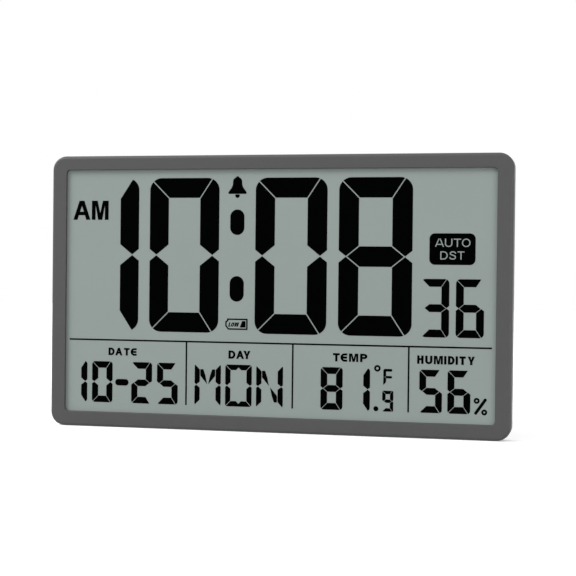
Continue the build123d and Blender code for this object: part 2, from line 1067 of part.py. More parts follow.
def hanger_pocket(grow=0.0):
    """Pocket behind the keyhole that takes the head of the wall screw."""
    near = hanger_plate_front() - hanger_pocket_depth - grow
    outline = RectangleRounded(
        hanger_pocket_width + 2 * grow,
        hanger_slot_rise + 2 * hanger_pocket_margin + 2 * grow,
        hanger_plate_radius + grow,
    )
    return slab(outline, near, housing_back + overrun, 0, hanger_middle())


def hanger_seat(grow=0.0):
    """Recess that the hanger plate lies in."""
    outline = hanger_plate_outline(hanger_plate_clearance + grow)
    near = hanger_plate_front() - grow
    return slab(outline, near, housing_back + overrun, 0, hanger_middle())


def hanger_screw_places():
    """Places of the two screws of the hanger plate."""
    height = hanger_height - hanger_screw_drop
    return [(-hanger_screw_spread / 2, height), (hanger_screw_spread / 2, height)]


def bay_space(grow=0.0):
    """Room for the two cells and their contacts."""
    return span_box(
        bay_left_edge - grow,
        bay_right_edge + grow,
        bay_floor - grow,
        bay_top,
        housing_centre_height - bay_half_height - grow,
        housing_centre_height + bay_half_height + grow,
    )


def rail_space(grow=0.0):
    """Room under the back wall for the tongues of the battery door."""
    half = door_half_height + tongue_overlap + tongue_play + grow
    return span_box(
        door_left_edge - grow,
        housing_width / 2 + overrun,
        bay_top - grow,
        housing_inner_back,
        housing_centre_height - half,
        housing_centre_height + half,
    )


def door_tab_space(grow=0.0):
    """Room for the tab at the inner end of the battery door."""
    half = door_tab_width / 2 + tongue_play + grow
    return span_box(
        door_left_edge - door_tab_length - tongue_play - grow,
        door_left_edge + overrun,
        bay_top - grow,
        housing_inner_back,
        housing_centre_height - half,
        housing_centre_height + half,
    )


def door_opening():
    """Cut in the housing's skin that the battery door closes."""
    back_cut = span_box(
        door_left_edge,
        housing_width / 2 + overrun,
        housing_inner_back - overrun,
        housing_back + overrun,
        housing_centre_height - door_half_height,
        housing_centre_height + door_half_height,
    )
    side_cut = span_box(
        drafted_half_width(housing_back) - housing_wall - overrun,
        housing_width / 2 + overrun,
        housing_back - door_wrap_depth,
        housing_back + overrun,
        housing_centre_height - door_half_height,
        housing_centre_height + door_half_height,
    )
    return back_cut + side_cut


def board_post_places():
    """Places of the four posts and screws of the circuit board."""
    half_width = board_width / 2 - board_hole_inset
    half_height = board_height / 2 - board_hole_inset
    places = []
    for x_side in (-1, 1):
        for z_side in (-1, 1):
            x = -board_centre_offset + x_side * half_width
            places.append((x, board_centre_height + z_side * half_height))
    return places


def cover_plate():
    """Flat plate of the rear cover with its lip and screw pads."""
    middle = frame_height / 2
    plate = slab(frame_outline(cover_inset), shell_depth, cover_back, 0, middle)
    plate = fillet(plate.edges().group_by(Axis.Y)[-1], cover_edge_round)
    outer = frame_outline(shell_wall + lip_clearance)
    inner = frame_outline(shell_wall + lip_clearance + lip_thickness)
    plate += slab(outer - inner, boss_top, shell_depth, 0, middle)
    for x, z in boss_places():
        plate += disc(boss_radius, boss_top, shell_depth, x, z)
    return plate


def sounder_ring():
    """Ring inside the cover that the sounder disc is glued to."""
    outer = Circle(brass_radius + sounder_ring_wall)
    seat = shell_depth - sounder_ring_depth
    seat_ring = outer - Circle(brass_radius - sounder_ledge)
    wall_ring = outer - Circle(brass_radius + brass_clearance)
    ring = slab(seat_ring, seat, shell_depth, -sounder_offset, sounder_height)
    lip_front = seat - brass_thickness
    return ring + slab(wall_ring, lip_front, seat, -sounder_offset, sounder_height)


def sensor_posts():
    """Two posts that carry the sensor board."""
    near = shell_depth - sensor_post_length
    posts = []
    for side in (-1, 1):
        z = sensor_height + side * sensor_post_spread / 2
        posts.append(disc(sensor_post_radius, near, shell_depth, -sensor_offset, z))
    return posts


def cover_holes():
    """Sound holes and sensor vents through the plate."""
    near = shell_depth - overrun
    far = cover_back + overrun
    centre = Circle(sound_hole_radius)
    around = PolarLocations(sound_hole_circle, sound_hole_count) * Circle(sound_hole_radius)
    holes = [slab(centre, near, far, -sounder_offset, sounder_height)]
    holes.append(slab(Sketch() + around, near, far, -sounder_offset, sounder_height))
    slot = SlotOverall(vent_length, vent_width)
    for row in range(vent_count):
        z = sensor_height + (row - (vent_count - 1) / 2) * vent_pitch
        holes.append(slab(slot, near, far, -sensor_offset, z))
    return holes


def button_places():
    """Height of each button."""
    heights = []
    for position in range(len(button_names)):
        heights.append(button_lowest_height + position * button_pitch)
    return heights


def switch_slot():
    """Slot in the button panel that the slide switch's knob shows through."""
    length = knob_length + slide_travel + 2 * lever_clearance
    width = knob_width + 2 * lever_clearance
    outline = Rectangle(length, width)
    middle = -button_column_offset
    return slab(outline, panel_inner - overrun, housing_back, middle, slide_switch_height)


def contact_slots():
    """Slots in the bay's left wall for the solder tabs of the contacts."""
    slots = []
    for side in (-1, 1):
        z = housing_centre_height + side * cell_spacing / 2
        half = contact_tab_width / 2 + thread_clearance
        slots.append(
            span_box(
                bay_left_edge - bay_wall - overrun,
                bay_left_edge + overrun,
                bay_floor,
                bay_floor + contact_thickness + thread_clearance,
                z - half,
                z + half,
            )
        )
    return slots


def rear_cover():
    """Back plate with the raised housing that holds the works."""
    cover = cover_plate() + housing_outside() + bay_space(bay_wall)
    hollow = housing_inside()
    hollow -= channel_space(housing_wall)
    hollow -= panel_space(housing_wall)
    hollow -= hanger_pocket(bay_wall)
    hollow -= hanger_seat(bay_wall)
    hollow -= bay_space(bay_wall)
    hollow -= rail_space(bay_wall)
    hollow -= door_tab_space(bay_wall)
    cover -= hollow
    cover -= channel_space()
    cover -= panel_space()
    cover -= hanger_pocket()
    cover -= bay_space()
    cover -= rail_space()
    cover -= door_tab_space()
    cover -= door_opening()
    for x, z in hanger_screw_places():
        post_front = hanger_plate_front() - hanger_post_length
        cover += disc(hanger_post_radius, post_front, housing_inner_back, x, z)
    cover -= hanger_seat()
    for x, z in board_post_places():
        cover += disc(board_post_radius, board_back, housing_inner_back, x, z)
    cover += sounder_ring()
    for post in sensor_posts():
        cover += post
    for hole in cover_holes():
        cover -= hole
    for x, z in boss_places():
        cover -= disc(case_screw_hole_radius, boss_top - overrun, cover_back + overrun, x, z)
        cover -= disc(counterbore_radius, counterbore_seat(), cover_back + overrun, x, z)
    for x, z in board_post_places():
        tip = board_front + board_screw_length + thread_clearance
        pilot = board_screw_radius + thread_clearance
        cover -= disc(pilot, board_back - overrun, tip, x, z)
    for x, z in hanger_screw_places():
        pilot = hanger_screw_radius + thread_clearance
        tip = hanger_plate_front() - hanger_pilot_depth
        cover -= disc(pilot, tip, hanger_plate_front() + overrun, x, z)
    for z in button_places():
        hole = button_radius + button_clearance
        cover -= disc(hole, panel_inner - overrun, housing_back, -button_column_offset, z)
    cover -= switch_slot()
    for slot in contact_slots():
        cover -= slot
    cover -= pin_bar(pin_radius + pin_press_clearance, channel_width / 2 + pin_grip)
    return cover


# Desk leg


def heel_reach():
    """Height of the stop heel, so that it meets the channel floor at the leg's full angle."""
    angle = math.radians(leg_angle)
    room = hinge_depth - channel_floor - stop_gap
    return (room - heel_thickness / 2 * math.cos(angle)) / math.sin(angle)


def pin_bar(radius, reach):
    """Round bar along the hinge axis."""
    plane = Plane(origin=place(-reach, hinge_depth, hinge_height), z_dir=(1, 0, 0))
    return extrude(plane * Circle(radius), amount=2 * reach)


def leg_outline(half_top, half_tip, bottom, radius):
    """Tapered outline of the leg below its hinge."""
    top_left = (-half_top, hinge_height)
    top_right = (half_top, hinge_height)
    tip_right = (half_tip, bottom)
    tip_left = (-half_tip, bottom)
    outline = make_face(Polyline(top_left, top_right, tip_right, tip_left, close=True))
    return fillet(outline.vertices().group_by(Axis.Y)[0], radius)


def desk_leg():
    """Fold-out leg: a thin moulding with side walls and cross ribs, and a stop heel."""
    half_top = channel_width / 2 - leg_side_clearance
    half_tip = leg_tip_width / 2
    back = hinge_depth + barrel_radius
    near = back - leg_thickness
    outer = leg_outline(half_top, half_tip, leg_foot_clearance, leg_tip_radius)
    leg = slab(outer, near, back)
    inner = leg_outline(
        half_top - leg_wall,
        half_tip - leg_wall,
        leg_foot_clearance + leg_wall,
        leg_tip_radius - leg_wall,
    )
    hollow = slab(inner, near - overrun, back - leg_wall)
    rib_top = hinge_height - barrel_radius
    rib_pitch = (rib_top - leg_foot_clearance) / (leg_rib_count + 1)
    for rib in range(leg_rib_count):
        z = leg_foot_clearance + (rib + 1) * rib_pitch
        half = leg_rib_thickness / 2
        hollow -= span_box(-half_top, half_top, near - overrun, back, z - half, z + half)
    leg -= hollow
    leg += pin_bar(barrel_radius, half_top)
    heel_half = heel_width / 2
    heel_near = hinge_depth - heel_thickness / 2
    heel_top = hinge_height + heel_reach()
    heel_back = heel_near + heel_thickness
    leg += span_box(-heel_half, heel_half, heel_near, heel_back, hinge_height, heel_top)
    leg -= pin_bar(pin_radius + pin_clearance, half_top + overrun)
    return leg


def hinge_pin():
    """Steel pin through the leg's barrel, held in both walls of the channel."""
    return pin_bar(pin_radius, channel_width / 2 + pin_grip - thread_clearance)


def foot_pad():
    """Rubber strip under the tip of the leg."""
    back = hinge_depth + barrel_radius
    near = back - leg_thickness / 2 - foot_pad_depth / 2
    half = foot_pad_width / 2
    top = leg_foot_clearance
    return span_box(-half, half, near, near + foot_pad_depth, top - foot_pad_thickness, top)


# Battery door, cells and contacts


def door_zone(inset=0.0):
    """Part of the housing's skin that belongs to the door."""
    half = door_half_height - inset
    skin = span_box(
        door_left_edge + inset,
        housing_width / 2 + overrun,
        housing_inner_back,
        housing_back + overrun,
        housing_centre_height - half,
        housing_centre_height + half,
    )
    side = span_box(
        drafted_half_width(housing_back) - housing_wall,
        housing_width / 2 + overrun,
        housing_back - door_wrap_depth + inset,
        housing_back + overrun,
        housing_centre_height - half,
        housing_centre_height + half,
    )
    return skin + side


def door_tongues():
    """Tongues that run under the housing's back wall, and the tab at the inner end."""
    near = bay_top + tongue_play
    far = near + tongue_thickness
    outer = door_half_height + tongue_overlap
    inner = outer - tongue_width
    middle = housing_centre_height
    left = door_left_edge + door_clearance
    right = drafted_half_width(housing_back) - housing_wall
    shapes = []
    for side in (-1, 1):
        low = min(side * inner, side * outer)
        high = max(side * inner, side * outer)
        shapes.append(span_box(left, right, near, far, middle + low, middle + high))
        neck = door_half_height - door_clearance
        low = min(side * inner, side * neck)
        high = max(side * inner, side * neck)
        far_edge = housing_back - overrun
        shapes.append(span_box(left, right, near, far_edge, middle + low, middle + high))
    half = door_tab_width / 2
    tab_left = door_left_edge - door_tab_length
    tab_root = left + bay_wall
    shapes.append(span_box(tab_left, tab_root, near, far, middle - half, middle + half))
    shapes.append(span_box(left, tab_root, near, housing_back - overrun, middle - half, middle + half))
    return shapes


def battery_door():
    """Sliding door cut from the same skin as the housing, with tongues and grip ridges."""
    inner_cut = slab(
        Rectangle(housing_width, housing_height),
        cover_back,
        housing_inner_back,
        -housing_wall,
        housing_centre_height,
    )
    door = housing_outside() & door_zone(door_clearance)
    keep_side = span_box(
        drafted_half_width(housing_back) - housing_wall,
        housing_width,
        cover_back - overrun,
        housing_back,
        0,
        frame_height,
    )
    door -= inner_cut - keep_side
    for shape in door_tongues():
        door += shape
    right = drafted_half_width(housing_back) - housing_edge_round - door_grip
    half = door_ridge_length / 2
    for ridge in range(door_ridge_count):
        x = right - ridge * door_ridge_pitch
        door -= span_box(
            x - door_ridge_width / 2,
            x + door_ridge_width / 2,
            housing_back - door_ridge_depth,
            housing_back + overrun,
            housing_centre_height - half,
            housing_centre_height + half,
        )
    return door


def along_x(radius, left, right, depth, z):
    """Round bar along X."""
    plane = Plane(origin=place(left, depth, z), z_dir=(1, 0, 0))
    return extrude(plane * Circle(radius), amount=right - left)


def cell(side):
    """AA cell. The upper one has its nub at the left, the lower one at the right."""
    z = housing_centre_height + side * cell_spacing / 2
    if side > 0:
        nub_end = bay_left_edge + contact_thickness
        shoulder = nub_end + cell_nub_length
        base = nub_end + cell_length
    else:
        nub_end = bay_right_edge - contact_thickness
        shoulder = nub_end - cell_nub_length
        base = nub_end - cell_length
    can = along_x(cell_radius, min(shoulder, base), max(shoulder, base), bay_depth_centre, z)
    can = fillet(can.edges().filter_by(GeomType.CIRCLE), cell_edge_round)
    nub = along_x(
        cell_nub_radius,
        min(nub_end, shoulder),
        max(nub_end, shoulder),
        bay_depth_centre,
        z,
    )
    return can + nub


def contact_spring(side):
    """Tapered coil spring that presses on a cell's base."""
    z = housing_centre_height + side * cell_spacing / 2
    if side > 0:
        plate_face = bay_right_edge - contact_thickness
        direction = -1
    else:
        plate_face = bay_left_edge + contact_thickness
        direction = 1
    start = spring_wire_radius
    rise = spring_length - 2 * spring_wire_radius
    steps = spring_turns * spring_points_per_turn
    points = []
    for step in range(steps + 1):
        share = step / steps
        angle = 2 * math.pi * step / spring_points_per_turn
        coil = spring_coil_radius + (spring_tip_radius - spring_coil_radius) * share
        x = plate_face + direction * (start + rise * share)
        y_offset = coil * math.cos(angle)
        z_offset = coil * math.sin(angle)
        points.append(place(x, bay_depth_centre + y_offset, z + z_offset))
    return wire_along(points, spring_wire_radius)


def battery_springs():
    """The two negative springs."""
    return joined([contact_spring(1), contact_spring(-1)])


def contact_plate(side):
    """Contact plate at the left wall with its solder tab through the wall."""
    z = housing_centre_height + side * cell_spacing / 2
    half = contact_width / 2
    plate = span_box(
        bay_left_edge,
        bay_left_edge + contact_thickness,
        bay_floor,
        bay_depth_centre + half,
        z - half,
        z + half,
    )
    tab_half = contact_tab_width / 2
    tab = span_box(
        bay_left_edge - contact_tab_length,
        bay_left_edge,
        bay_floor,
        bay_floor + contact_thickness,
        z - tab_half,
        z + tab_half,
    )
    return plate + tab


def battery_contacts():
    """Two plates at the left and the link plate at the right."""
    half = cell_spacing / 2 + contact_width / 2
    link = span_box(
        bay_right_edge - contact_thickness,
        bay_right_edge,
        bay_floor,
        bay_depth_centre + contact_width / 2,
        housing_centre_height - half,
        housing_centre_height + half,
    )
    return joined([contact_plate(1), contact_plate(-1), link])


# Circuit board, switches and buttons


def main_pcb():
    """Main circuit board."""
    outline = RectangleRounded(board_width, board_height, board_corner_radius)
    board = slab(outline, board_front, board_back, -board_centre_offset, board_centre_height)
    for x, z in board_post_places():
        board -= disc(board_hole_radius, board_front - overrun, board_back + overrun, x, z)
    return board


def pcb_screws():
    """Four screws of the circuit board, driven from the front."""
    return joined(
        screw(
            board_screw_radius,
            board_screw_head_radius,
            board_screw_head_height,
            board_screw_length,
            board_front,
            x,
            z,
            backwards=False,
        )
        for x, z in board_post_places()
    )


def controller_chip():
    """Controller under a drop of black epoxy."""
    sphere_radius = (controller_radius**2 + controller_height**2) / (2 * controller_height)
    z = board_centre_height + controller_rise
    centre = place(-board_centre_offset, board_front - controller_height + sphere_radius, z)
    ball = Pos(*centre) * Sphere(sphere_radius)
    near = board_front - controller_height - overrun
    cap = disc(controller_radius + overrun, near, board_front, -board_centre_offset, z)
    return ball & cap


def quartz_crystal():
    """Watch crystal can, lying on the board."""
    depth = board_front - crystal_radius
    x = -board_centre_offset + crystal_offset
    z = board_centre_height + crystal_rise
    return along_x(crystal_radius, x - crystal_length / 2, x + crystal_length / 2, depth, z)


def capacitors():
    """Two electrolytic capacitors, lying on the board."""
    depth = board_front - capacitor_radius
    x = -board_centre_offset - capacitor_offset
    shapes = []
    for row in range(2):
        z = board_centre_height + capacitor_rise + row * capacitor_pitch
        left = x - capacitor_length / 2
        shapes.append(along_x(capacitor_radius, left, left + capacitor_length, depth, z))
    return joined(shapes)


def tact_switch_bodies():
    """Square bodies of the five tact switches, each with the hole of its plunger."""
    outline = RectangleRounded(tact_width, tact_width, tact_corner_radius)
    bodies = []
    for z in button_places():
        body = slab(outline, board_back, board_back + tact_height, -button_column_offset, z)
        hole = plunger_radius + plunger_clearance
        floor = board_back + tact_height - plunger_engagement - button_travel
        floor -= lever_floor_clearance / 2
        far = board_back + tact_height + overrun
        body -= disc(hole, floor, far, -button_column_offset, z)
        bodies.append(body)
    return joined(bodies)


def plunger(z):
    """Plunger of one tact switch."""
    near = board_back + tact_height - plunger_engagement
    far = board_back + tact_height + plunger_rise
    return disc(plunger_radius, near, far, -button_column_offset, z)


def push_button(z):
    """Round button with the flange that keeps it in the panel and the stem on the plunger."""
    x = -button_column_offset
    stem_foot = board_back + tact_height + plunger_rise
    flange_back = panel_inner - button_clearance
    flange_front = flange_back - button_flange_thickness
    cap = disc(button_radius, flange_front, panel_face + button_rise, x, z)
    cap = fillet(cap.edges().group_by(Axis.Y)[-1], button_edge_round)
    flange = disc(button_flange_radius, flange_front, flange_back, x, z)
    stem = disc(button_stem_radius, stem_foot, flange_front, x, z)
    return cap + flange + stem


def slide_switch_body():
    """Body of the slide switch with the slot of its lever."""
    far = board_back + slide_switch_depth
    outline = Rectangle(slide_switch_length, slide_switch_width)
    body = slab(outline, board_back, far, -button_column_offset, slide_switch_height)
    slot = Rectangle(
        lever_length + slide_travel + 2 * lever_clearance,
        lever_width + 2 * lever_clearance,
    )
    floor = far - lever_engagement - lever_floor_clearance
    return body - slab(slot, floor, far + overrun, -button_column_offset, slide_switch_height)


def slide_switch_knob():
    """Knob of the slide switch, resting at the left end of its slot."""
    x = -button_column_offset - slide_travel / 2
    z = slide_switch_height
    lever_front = board_back + slide_switch_depth - lever_engagement
    knob_front = board_back + slide_switch_depth + lever_floor_clearance
    knob_back = panel_face + knob_rise
    lever = slab(Rectangle(lever_length, lever_width), lever_front, knob_front, x, z)
    knob = slab(Rectangle(knob_length, knob_width), knob_front, knob_back, x, z)
    for side in (-1, 0, 1):
        groove_x = x + side * 2 * knob_groove
        groove = Rectangle(knob_groove, knob_width + overrun)
        knob -= slab(groove, knob_back - knob_groove, knob_back + overrun, groove_x, z)
    return lever + knob


# Ribbon, sounder, sensor, hanger and wires


def display_ribbon():
    """Flat cable from the glass ledge, over the clamp frame, to the circuit board."""
    bond = cell_front + ribbon_thickness / 2
    behind = clamp_back + ribbon_back_gap
    pad = board_front - ribbon_thickness / 2
    pad_top = board_centre_height + board_height / 2 - board_hole_inset
    points = [
        (bond, glass_top - ledge_height + (ledge_height - ribbon_bond_length)),
        (bond, glass_top + ribbon_loop_rise),
        (behind, glass_top + ribbon_loop_rise),
        (behind, pad_top + ribbon_turn_height),
        (pad, pad_top),
        (pad, pad_top - ribbon_pad_length),
    ]
    left = -board_centre_offset - ribbon_width / 2
    plane = Plane(origin=(left, front, 0), x_dir=(0, 1, 0), z_dir=(1, 0, 0))
    path = FilletPolyline(*points, radius=ribbon_bend_radius)
    ribbon = trace(path, line_width=ribbon_thickness)
    return extrude(plane * ribbon, amount=ribbon_width)


def sounder_brass():
    """Brass disc of the sounder."""
    seat = shell_depth - sounder_ring_depth
    return disc(brass_radius, seat - brass_thickness, seat, -sounder_offset, sounder_height)


def sounder_ceramic():
    """Ceramic disc on the brass disc."""
    far = shell_depth - sounder_ring_depth - brass_thickness
    return disc(ceramic_radius, far - ceramic_thickness, far, -sounder_offset, sounder_height)


def sensor_board():
    """Small board that carries the sensor behind the vents."""
    far = shell_depth - sensor_post_length
    outline = Rectangle(sensor_board_width, sensor_board_height)
    near = far - sensor_board_thickness
    return slab(outline, near, far, -sensor_offset, sensor_height)


def humidity_sensor():
    """Temperature and humidity sensor."""
    near = shell_depth - sensor_post_length
    outline = Rectangle(sensor_element_size, sensor_element_size)
    return slab(outline, near, near + sensor_element_depth, -sensor_offset, sensor_height)


def hanger_plate():
    """Steel plate with the keyhole for a wall screw."""
    near = hanger_plate_front()
    far = near + hanger_plate_thickness
    plate = slab(hanger_plate_outline(), near, far, 0, hanger_middle())
    plate -= disc(hanger_bore_radius, near - overrun, far + overrun, 0, hanger_height)
    slot_top = hanger_height + hanger_slot_rise
    half = hanger_slot_width / 2
    plate -= span_box(-half, half, near - overrun, far + overrun, hanger_height, slot_top)
    plate -= disc(half, near - overrun, far + overrun, 0, slot_top)
    for x, z in hanger_screw_places():
        plate -= disc(hanger_screw_hole_radius, near - overrun, far + overrun, x, z)
    return plate


def hanger_screws():
    """Two screws of the hanger plate, with their heads in the plate's holes."""
    seat = hanger_plate_front() + hanger_plate_thickness
    return joined(
        screw(
            hanger_screw_radius,
            hanger_screw_head_radius,
            hanger_screw_head_height,
            hanger_screw_length,
            seat,
            x,
            z,
        )
        for x, z in hanger_screw_places()
    )


def case_screws():
    """Eight screws that hold the cover to the shell."""
    return joined(
        screw(
            case_screw_radius,
            case_screw_head_radius,
            case_screw_head_height,
            case_screw_length,
            counterbore_seat(),
            x,
            z,
        )
        for x, z in boss_places()
    )


def board_lead(start, end_x, end_z):
    """Wire that leaves a face squarely, runs behind the LCD and ends squarely on the board."""
    x, depth, z = start
    points = [
        place(x, depth, z),
        place(x, depth - wire_lift, z),
        place(end_x, depth - wire_lift, end_z),
        place(end_x, board_front, end_z),
    ]
    return wire_along(points)


def battery_wires():
    """Two wires from the contact tabs, under the leg's channel, to the board."""
    wires = []
    depth = bay_floor - wire_radius
    for side in (-1, 1):
        tab_z = housing_centre_height + side * cell_spacing / 2
        board_z = board_centre_height + side * wire_spacing
        start_x = bay_left_edge - contact_tab_length / 2
        points = [
            place(start_x, depth, tab_z),
            place(channel_width / 2 - wire_lift, depth, tab_z),
            place(-channel_width / 2, depth + wire_lift, board_z),
            place(board_right - wire_inset, depth + wire_lift, board_z),
            place(board_right - wire_inset, board_front, board_z),
        ]
        wires.append(wire_along(points))
    return joined(wires)


def sounder_wires():
    """Two wires from the sounder to the board, one from each disc."""
    brass_front = shell_depth - sounder_ring_depth - brass_thickness
    ceramic_front = brass_front - ceramic_thickness
    brass_x = -sounder_offset + (brass_radius + ceramic_radius) / 2
    end_x = board_left + wire_inset
    starts = [
        (-sounder_offset, ceramic_front, sounder_height),
        (brass_x, brass_front, sounder_height),
    ]
    wires = []
    for row, start in enumerate(starts):
        end_z = board_centre_height + (row + 1) * wire_spacing
        wires.append(board_lead(start, end_x, end_z))
    return joined(wires)


def sensor_wires():
    """Four wires from the sensor board to the main board."""
    face = shell_depth - sensor_post_length - sensor_board_thickness
    start_x = -sensor_offset + sensor_board_width / 2 - wire_spacing / 2
    end_x = board_left + wire_inset
    wires = []
    for row in range(sensor_wire_count):
        z = sensor_height + (row - (sensor_wire_count - 1) / 2) * wire_spacing
        wires.append(board_lead((start_x, face, z), end_x, z + sensor_wire_rise))
    return joined(wires)


def main():
    """Write every node."""
    os.makedirs("parts", exist_ok=True)
    save(front_shell(), "front_shell")
    save(rear_cover(), "rear_cover")
    save(foam_gasket(), "foam_gasket")
    save(lcd_segments(), "lcd_segments")
    save(front_polariser(), "front_polariser")
    save(lcd_front_glass(), "lcd_front_glass")
    save(lcd_seal(), "lcd_seal")
    save(lcd_rear_glass(), "lcd_rear_glass")
    save(reflector_film(), "reflector_film")
    save(lcd_clamp_frame(), "lcd_clamp_frame")
    save(clamp_screws(), "clamp_screws")
    save(display_ribbon(), "display_ribbon")
    save(main_pcb(), "main_pcb")
    save(pcb_screws(), "pcb_screws")
    save(controller_chip(), "controller_chip")
    save(quartz_crystal(), "quartz_crystal")
    save(capacitors(), "capacitors")
    save(tact_switch_bodies(), "tact_switch_bodies")
    for name, z in zip(button_names, button_places()):
        save(push_button(z), "button_" + name)
        save(plunger(z), "tact_plunger_" + name)
    save(slide_switch_body(), "dst_switch_body")
    save(slide_switch_knob(), "dst_switch_knob")
    save(sounder_brass(), "sounder_brass_disc")
    save(sounder_ceramic(), "sounder_ceramic_disc")
    save(sounder_wires(), "sounder_wires")
    save(sensor_board(), "sensor_board")
    save(humidity_sensor(), "humidity_sensor")
    save(sensor_wires(), "sensor_wires")
    save(battery_door(), "battery_door")
    save(cell(1), "battery_cell_upper")
    save(cell(-1), "battery_cell_lower")
    save(battery_springs(), "battery_springs")
    save(battery_contacts(), "battery_contacts")
    save(battery_wires(), "battery_wires")
    save(hanger_plate(), "hanger_plate")
    save(hanger_screws(), "hanger_screws")
    save(desk_leg(), "desk_leg")
    save(hinge_pin(), "leg_hinge_pin")
    save(foot_pad(), "leg_foot_pad")
    save(case_screws(), "case_screws")


main()
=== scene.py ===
import json
import math

import bmesh
import bpy
from bpy.props import FloatProperty, FloatVectorProperty, IntProperty, PointerProperty
from mathutils import Matrix, Vector


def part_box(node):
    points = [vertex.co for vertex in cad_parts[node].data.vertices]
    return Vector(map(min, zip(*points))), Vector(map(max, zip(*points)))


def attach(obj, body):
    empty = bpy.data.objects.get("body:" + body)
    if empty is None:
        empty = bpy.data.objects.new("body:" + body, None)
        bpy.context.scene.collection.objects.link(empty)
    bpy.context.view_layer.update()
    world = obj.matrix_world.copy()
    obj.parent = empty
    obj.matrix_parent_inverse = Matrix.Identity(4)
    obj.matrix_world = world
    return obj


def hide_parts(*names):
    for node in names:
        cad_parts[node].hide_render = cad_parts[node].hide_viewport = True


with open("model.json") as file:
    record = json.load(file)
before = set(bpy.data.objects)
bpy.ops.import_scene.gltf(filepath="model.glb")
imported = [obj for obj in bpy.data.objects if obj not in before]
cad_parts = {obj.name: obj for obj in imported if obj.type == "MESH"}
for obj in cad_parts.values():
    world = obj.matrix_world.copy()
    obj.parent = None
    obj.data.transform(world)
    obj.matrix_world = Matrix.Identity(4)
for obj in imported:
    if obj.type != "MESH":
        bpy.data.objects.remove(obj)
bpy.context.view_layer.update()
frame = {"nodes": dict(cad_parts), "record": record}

bl_info = {
    "name": "Display Clock Looks",
    "version": (1, 0, 0),
    "blender": (4, 5, 0),
    "location": "View3D > Sidebar > Display Clock",
    "description": "Finishes, display signs and screws for a large LCD clock, and a plain studio",
    "category": "Object",
}

MM = 0.001
FILM_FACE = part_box("front_polariser")[0].y
SIGN_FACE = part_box("lcd_segments")[0].y


# Sizes and colours that a user would change


def colour_of(name, description, default):
    """Colour that a user picks."""
    return FloatVectorProperty(
        name=name, description=description, subtype="COLOR", size=3, min=0, max=1, default=default
    )


def share_of(name, description, default, low, high):
    """Share of something, between two limits."""
    return FloatProperty(
        name=name, description=description, subtype="FACTOR", min=low, max=high, default=default
    )


def length_of(name, description, default, **limits):
    """Length in metres."""
    return FloatProperty(
        name=name,
        description=description,
        unit="LENGTH",
        subtype="DISTANCE",
        default=default,
        **limits,
    )


def small_length(name, description, default, low, high):
    """Length of a small feature, shown with enough digits."""
    return length_of(name, description, default, min=low, max=high, precision=5)


def angle_of(name, description, degrees):
    """Angle that is given in degrees."""
    return FloatProperty(
        name=name, description=description, subtype="ANGLE", default=math.radians(degrees)
    )


def power_of(name, description, watts):
    """Power of a lamp."""
    return FloatProperty(
        name=name, description=description, unit="POWER", subtype="POWER", default=watts
    )


class ClockFinishes(bpy.types.PropertyGroup):
    """Colours and texture of what one sees"""

    shell: colour_of(
        "Shell",
        "Colour of the moulded shell, rear cover, leg and battery door",
        (0.0565, 0.0565, 0.0576),
    )
    film: colour_of(
        "Display film", "Colour of the anti-glare film over the LCD", (0.296, 0.342, 0.323)
    )
    dark: colour_of(
        "Dark areas", "Colour of the LCD where it is switched dark", (0.0006, 0.0007, 0.0007)
    )
    shell_roughness: share_of(
        "Shell roughness", "How matt the shell's satin texture is", 0.52, 0.0, 1.0
    )
    shell_grain: small_length(
        "Shell grain", "Width of one grain of the shell's moulded texture", 0.00045, 0.0001, 0.01
    )


class DisplaySigns(bpy.types.PropertyGroup):
    """Heights and strokes of the signs on the display"""

    label_height: small_length(
        "Label height", "Height of the letters of the bottom row", 0.0063, 0.002, 0.012
    )
    label_stem: share_of(
        "Label stem", "Width of a label's strokes, as a share of its height", 0.285, 0.08, 0.3
    )
    badge_stem: share_of(
        "Badge stem",
        "Width of the light strokes in the badge, as a share of their height",
        0.145,
        0.08,
        0.3,
    )
    heading_stem: share_of(
        "AM stem", "Width of the strokes of AM, as a share of its height", 0.23, 0.08, 0.3
    )
    low_stem: share_of(
        "LOW stem", "Width of the strokes of LOW, as a share of its height", 0.27, 0.08, 0.4
    )
    badge_corner: small_length(
        "Badge corner", "Corner radius of the dark badge", 0.0042, 0.0005, 0.01
    )
    ring_stroke: small_length(
        "Ring stroke",
        "Stroke of the degree ring and of the rings of the percent sign",
        0.0015,
        0.0002,
        0.004,
    )


class ScrewSizes(bpy.types.PropertyGroup):
    """Recess and thread of the screws, and how they are turned"""

    recess_share: share_of(
        "Recess length",
        "Length of the cross recess, as a share of the head's diameter",
        0.55,
        0.2,
        0.9,
    )
    recess_width_share: share_of(
        "Recess width",
        "Width of the cross recess, as a share of the head's diameter",
        0.16,
        0.05,
        0.4,
    )
    thread_pitch: small_length(
        "Thread pitch", "Distance between turns of the thread", 0.0009, 0.0002, 0.003
    )
    seed: IntProperty(
        name="Turn seed",
        description="Seed of the angle at which each screw stopped",
        min=0,
        default=7,
    )


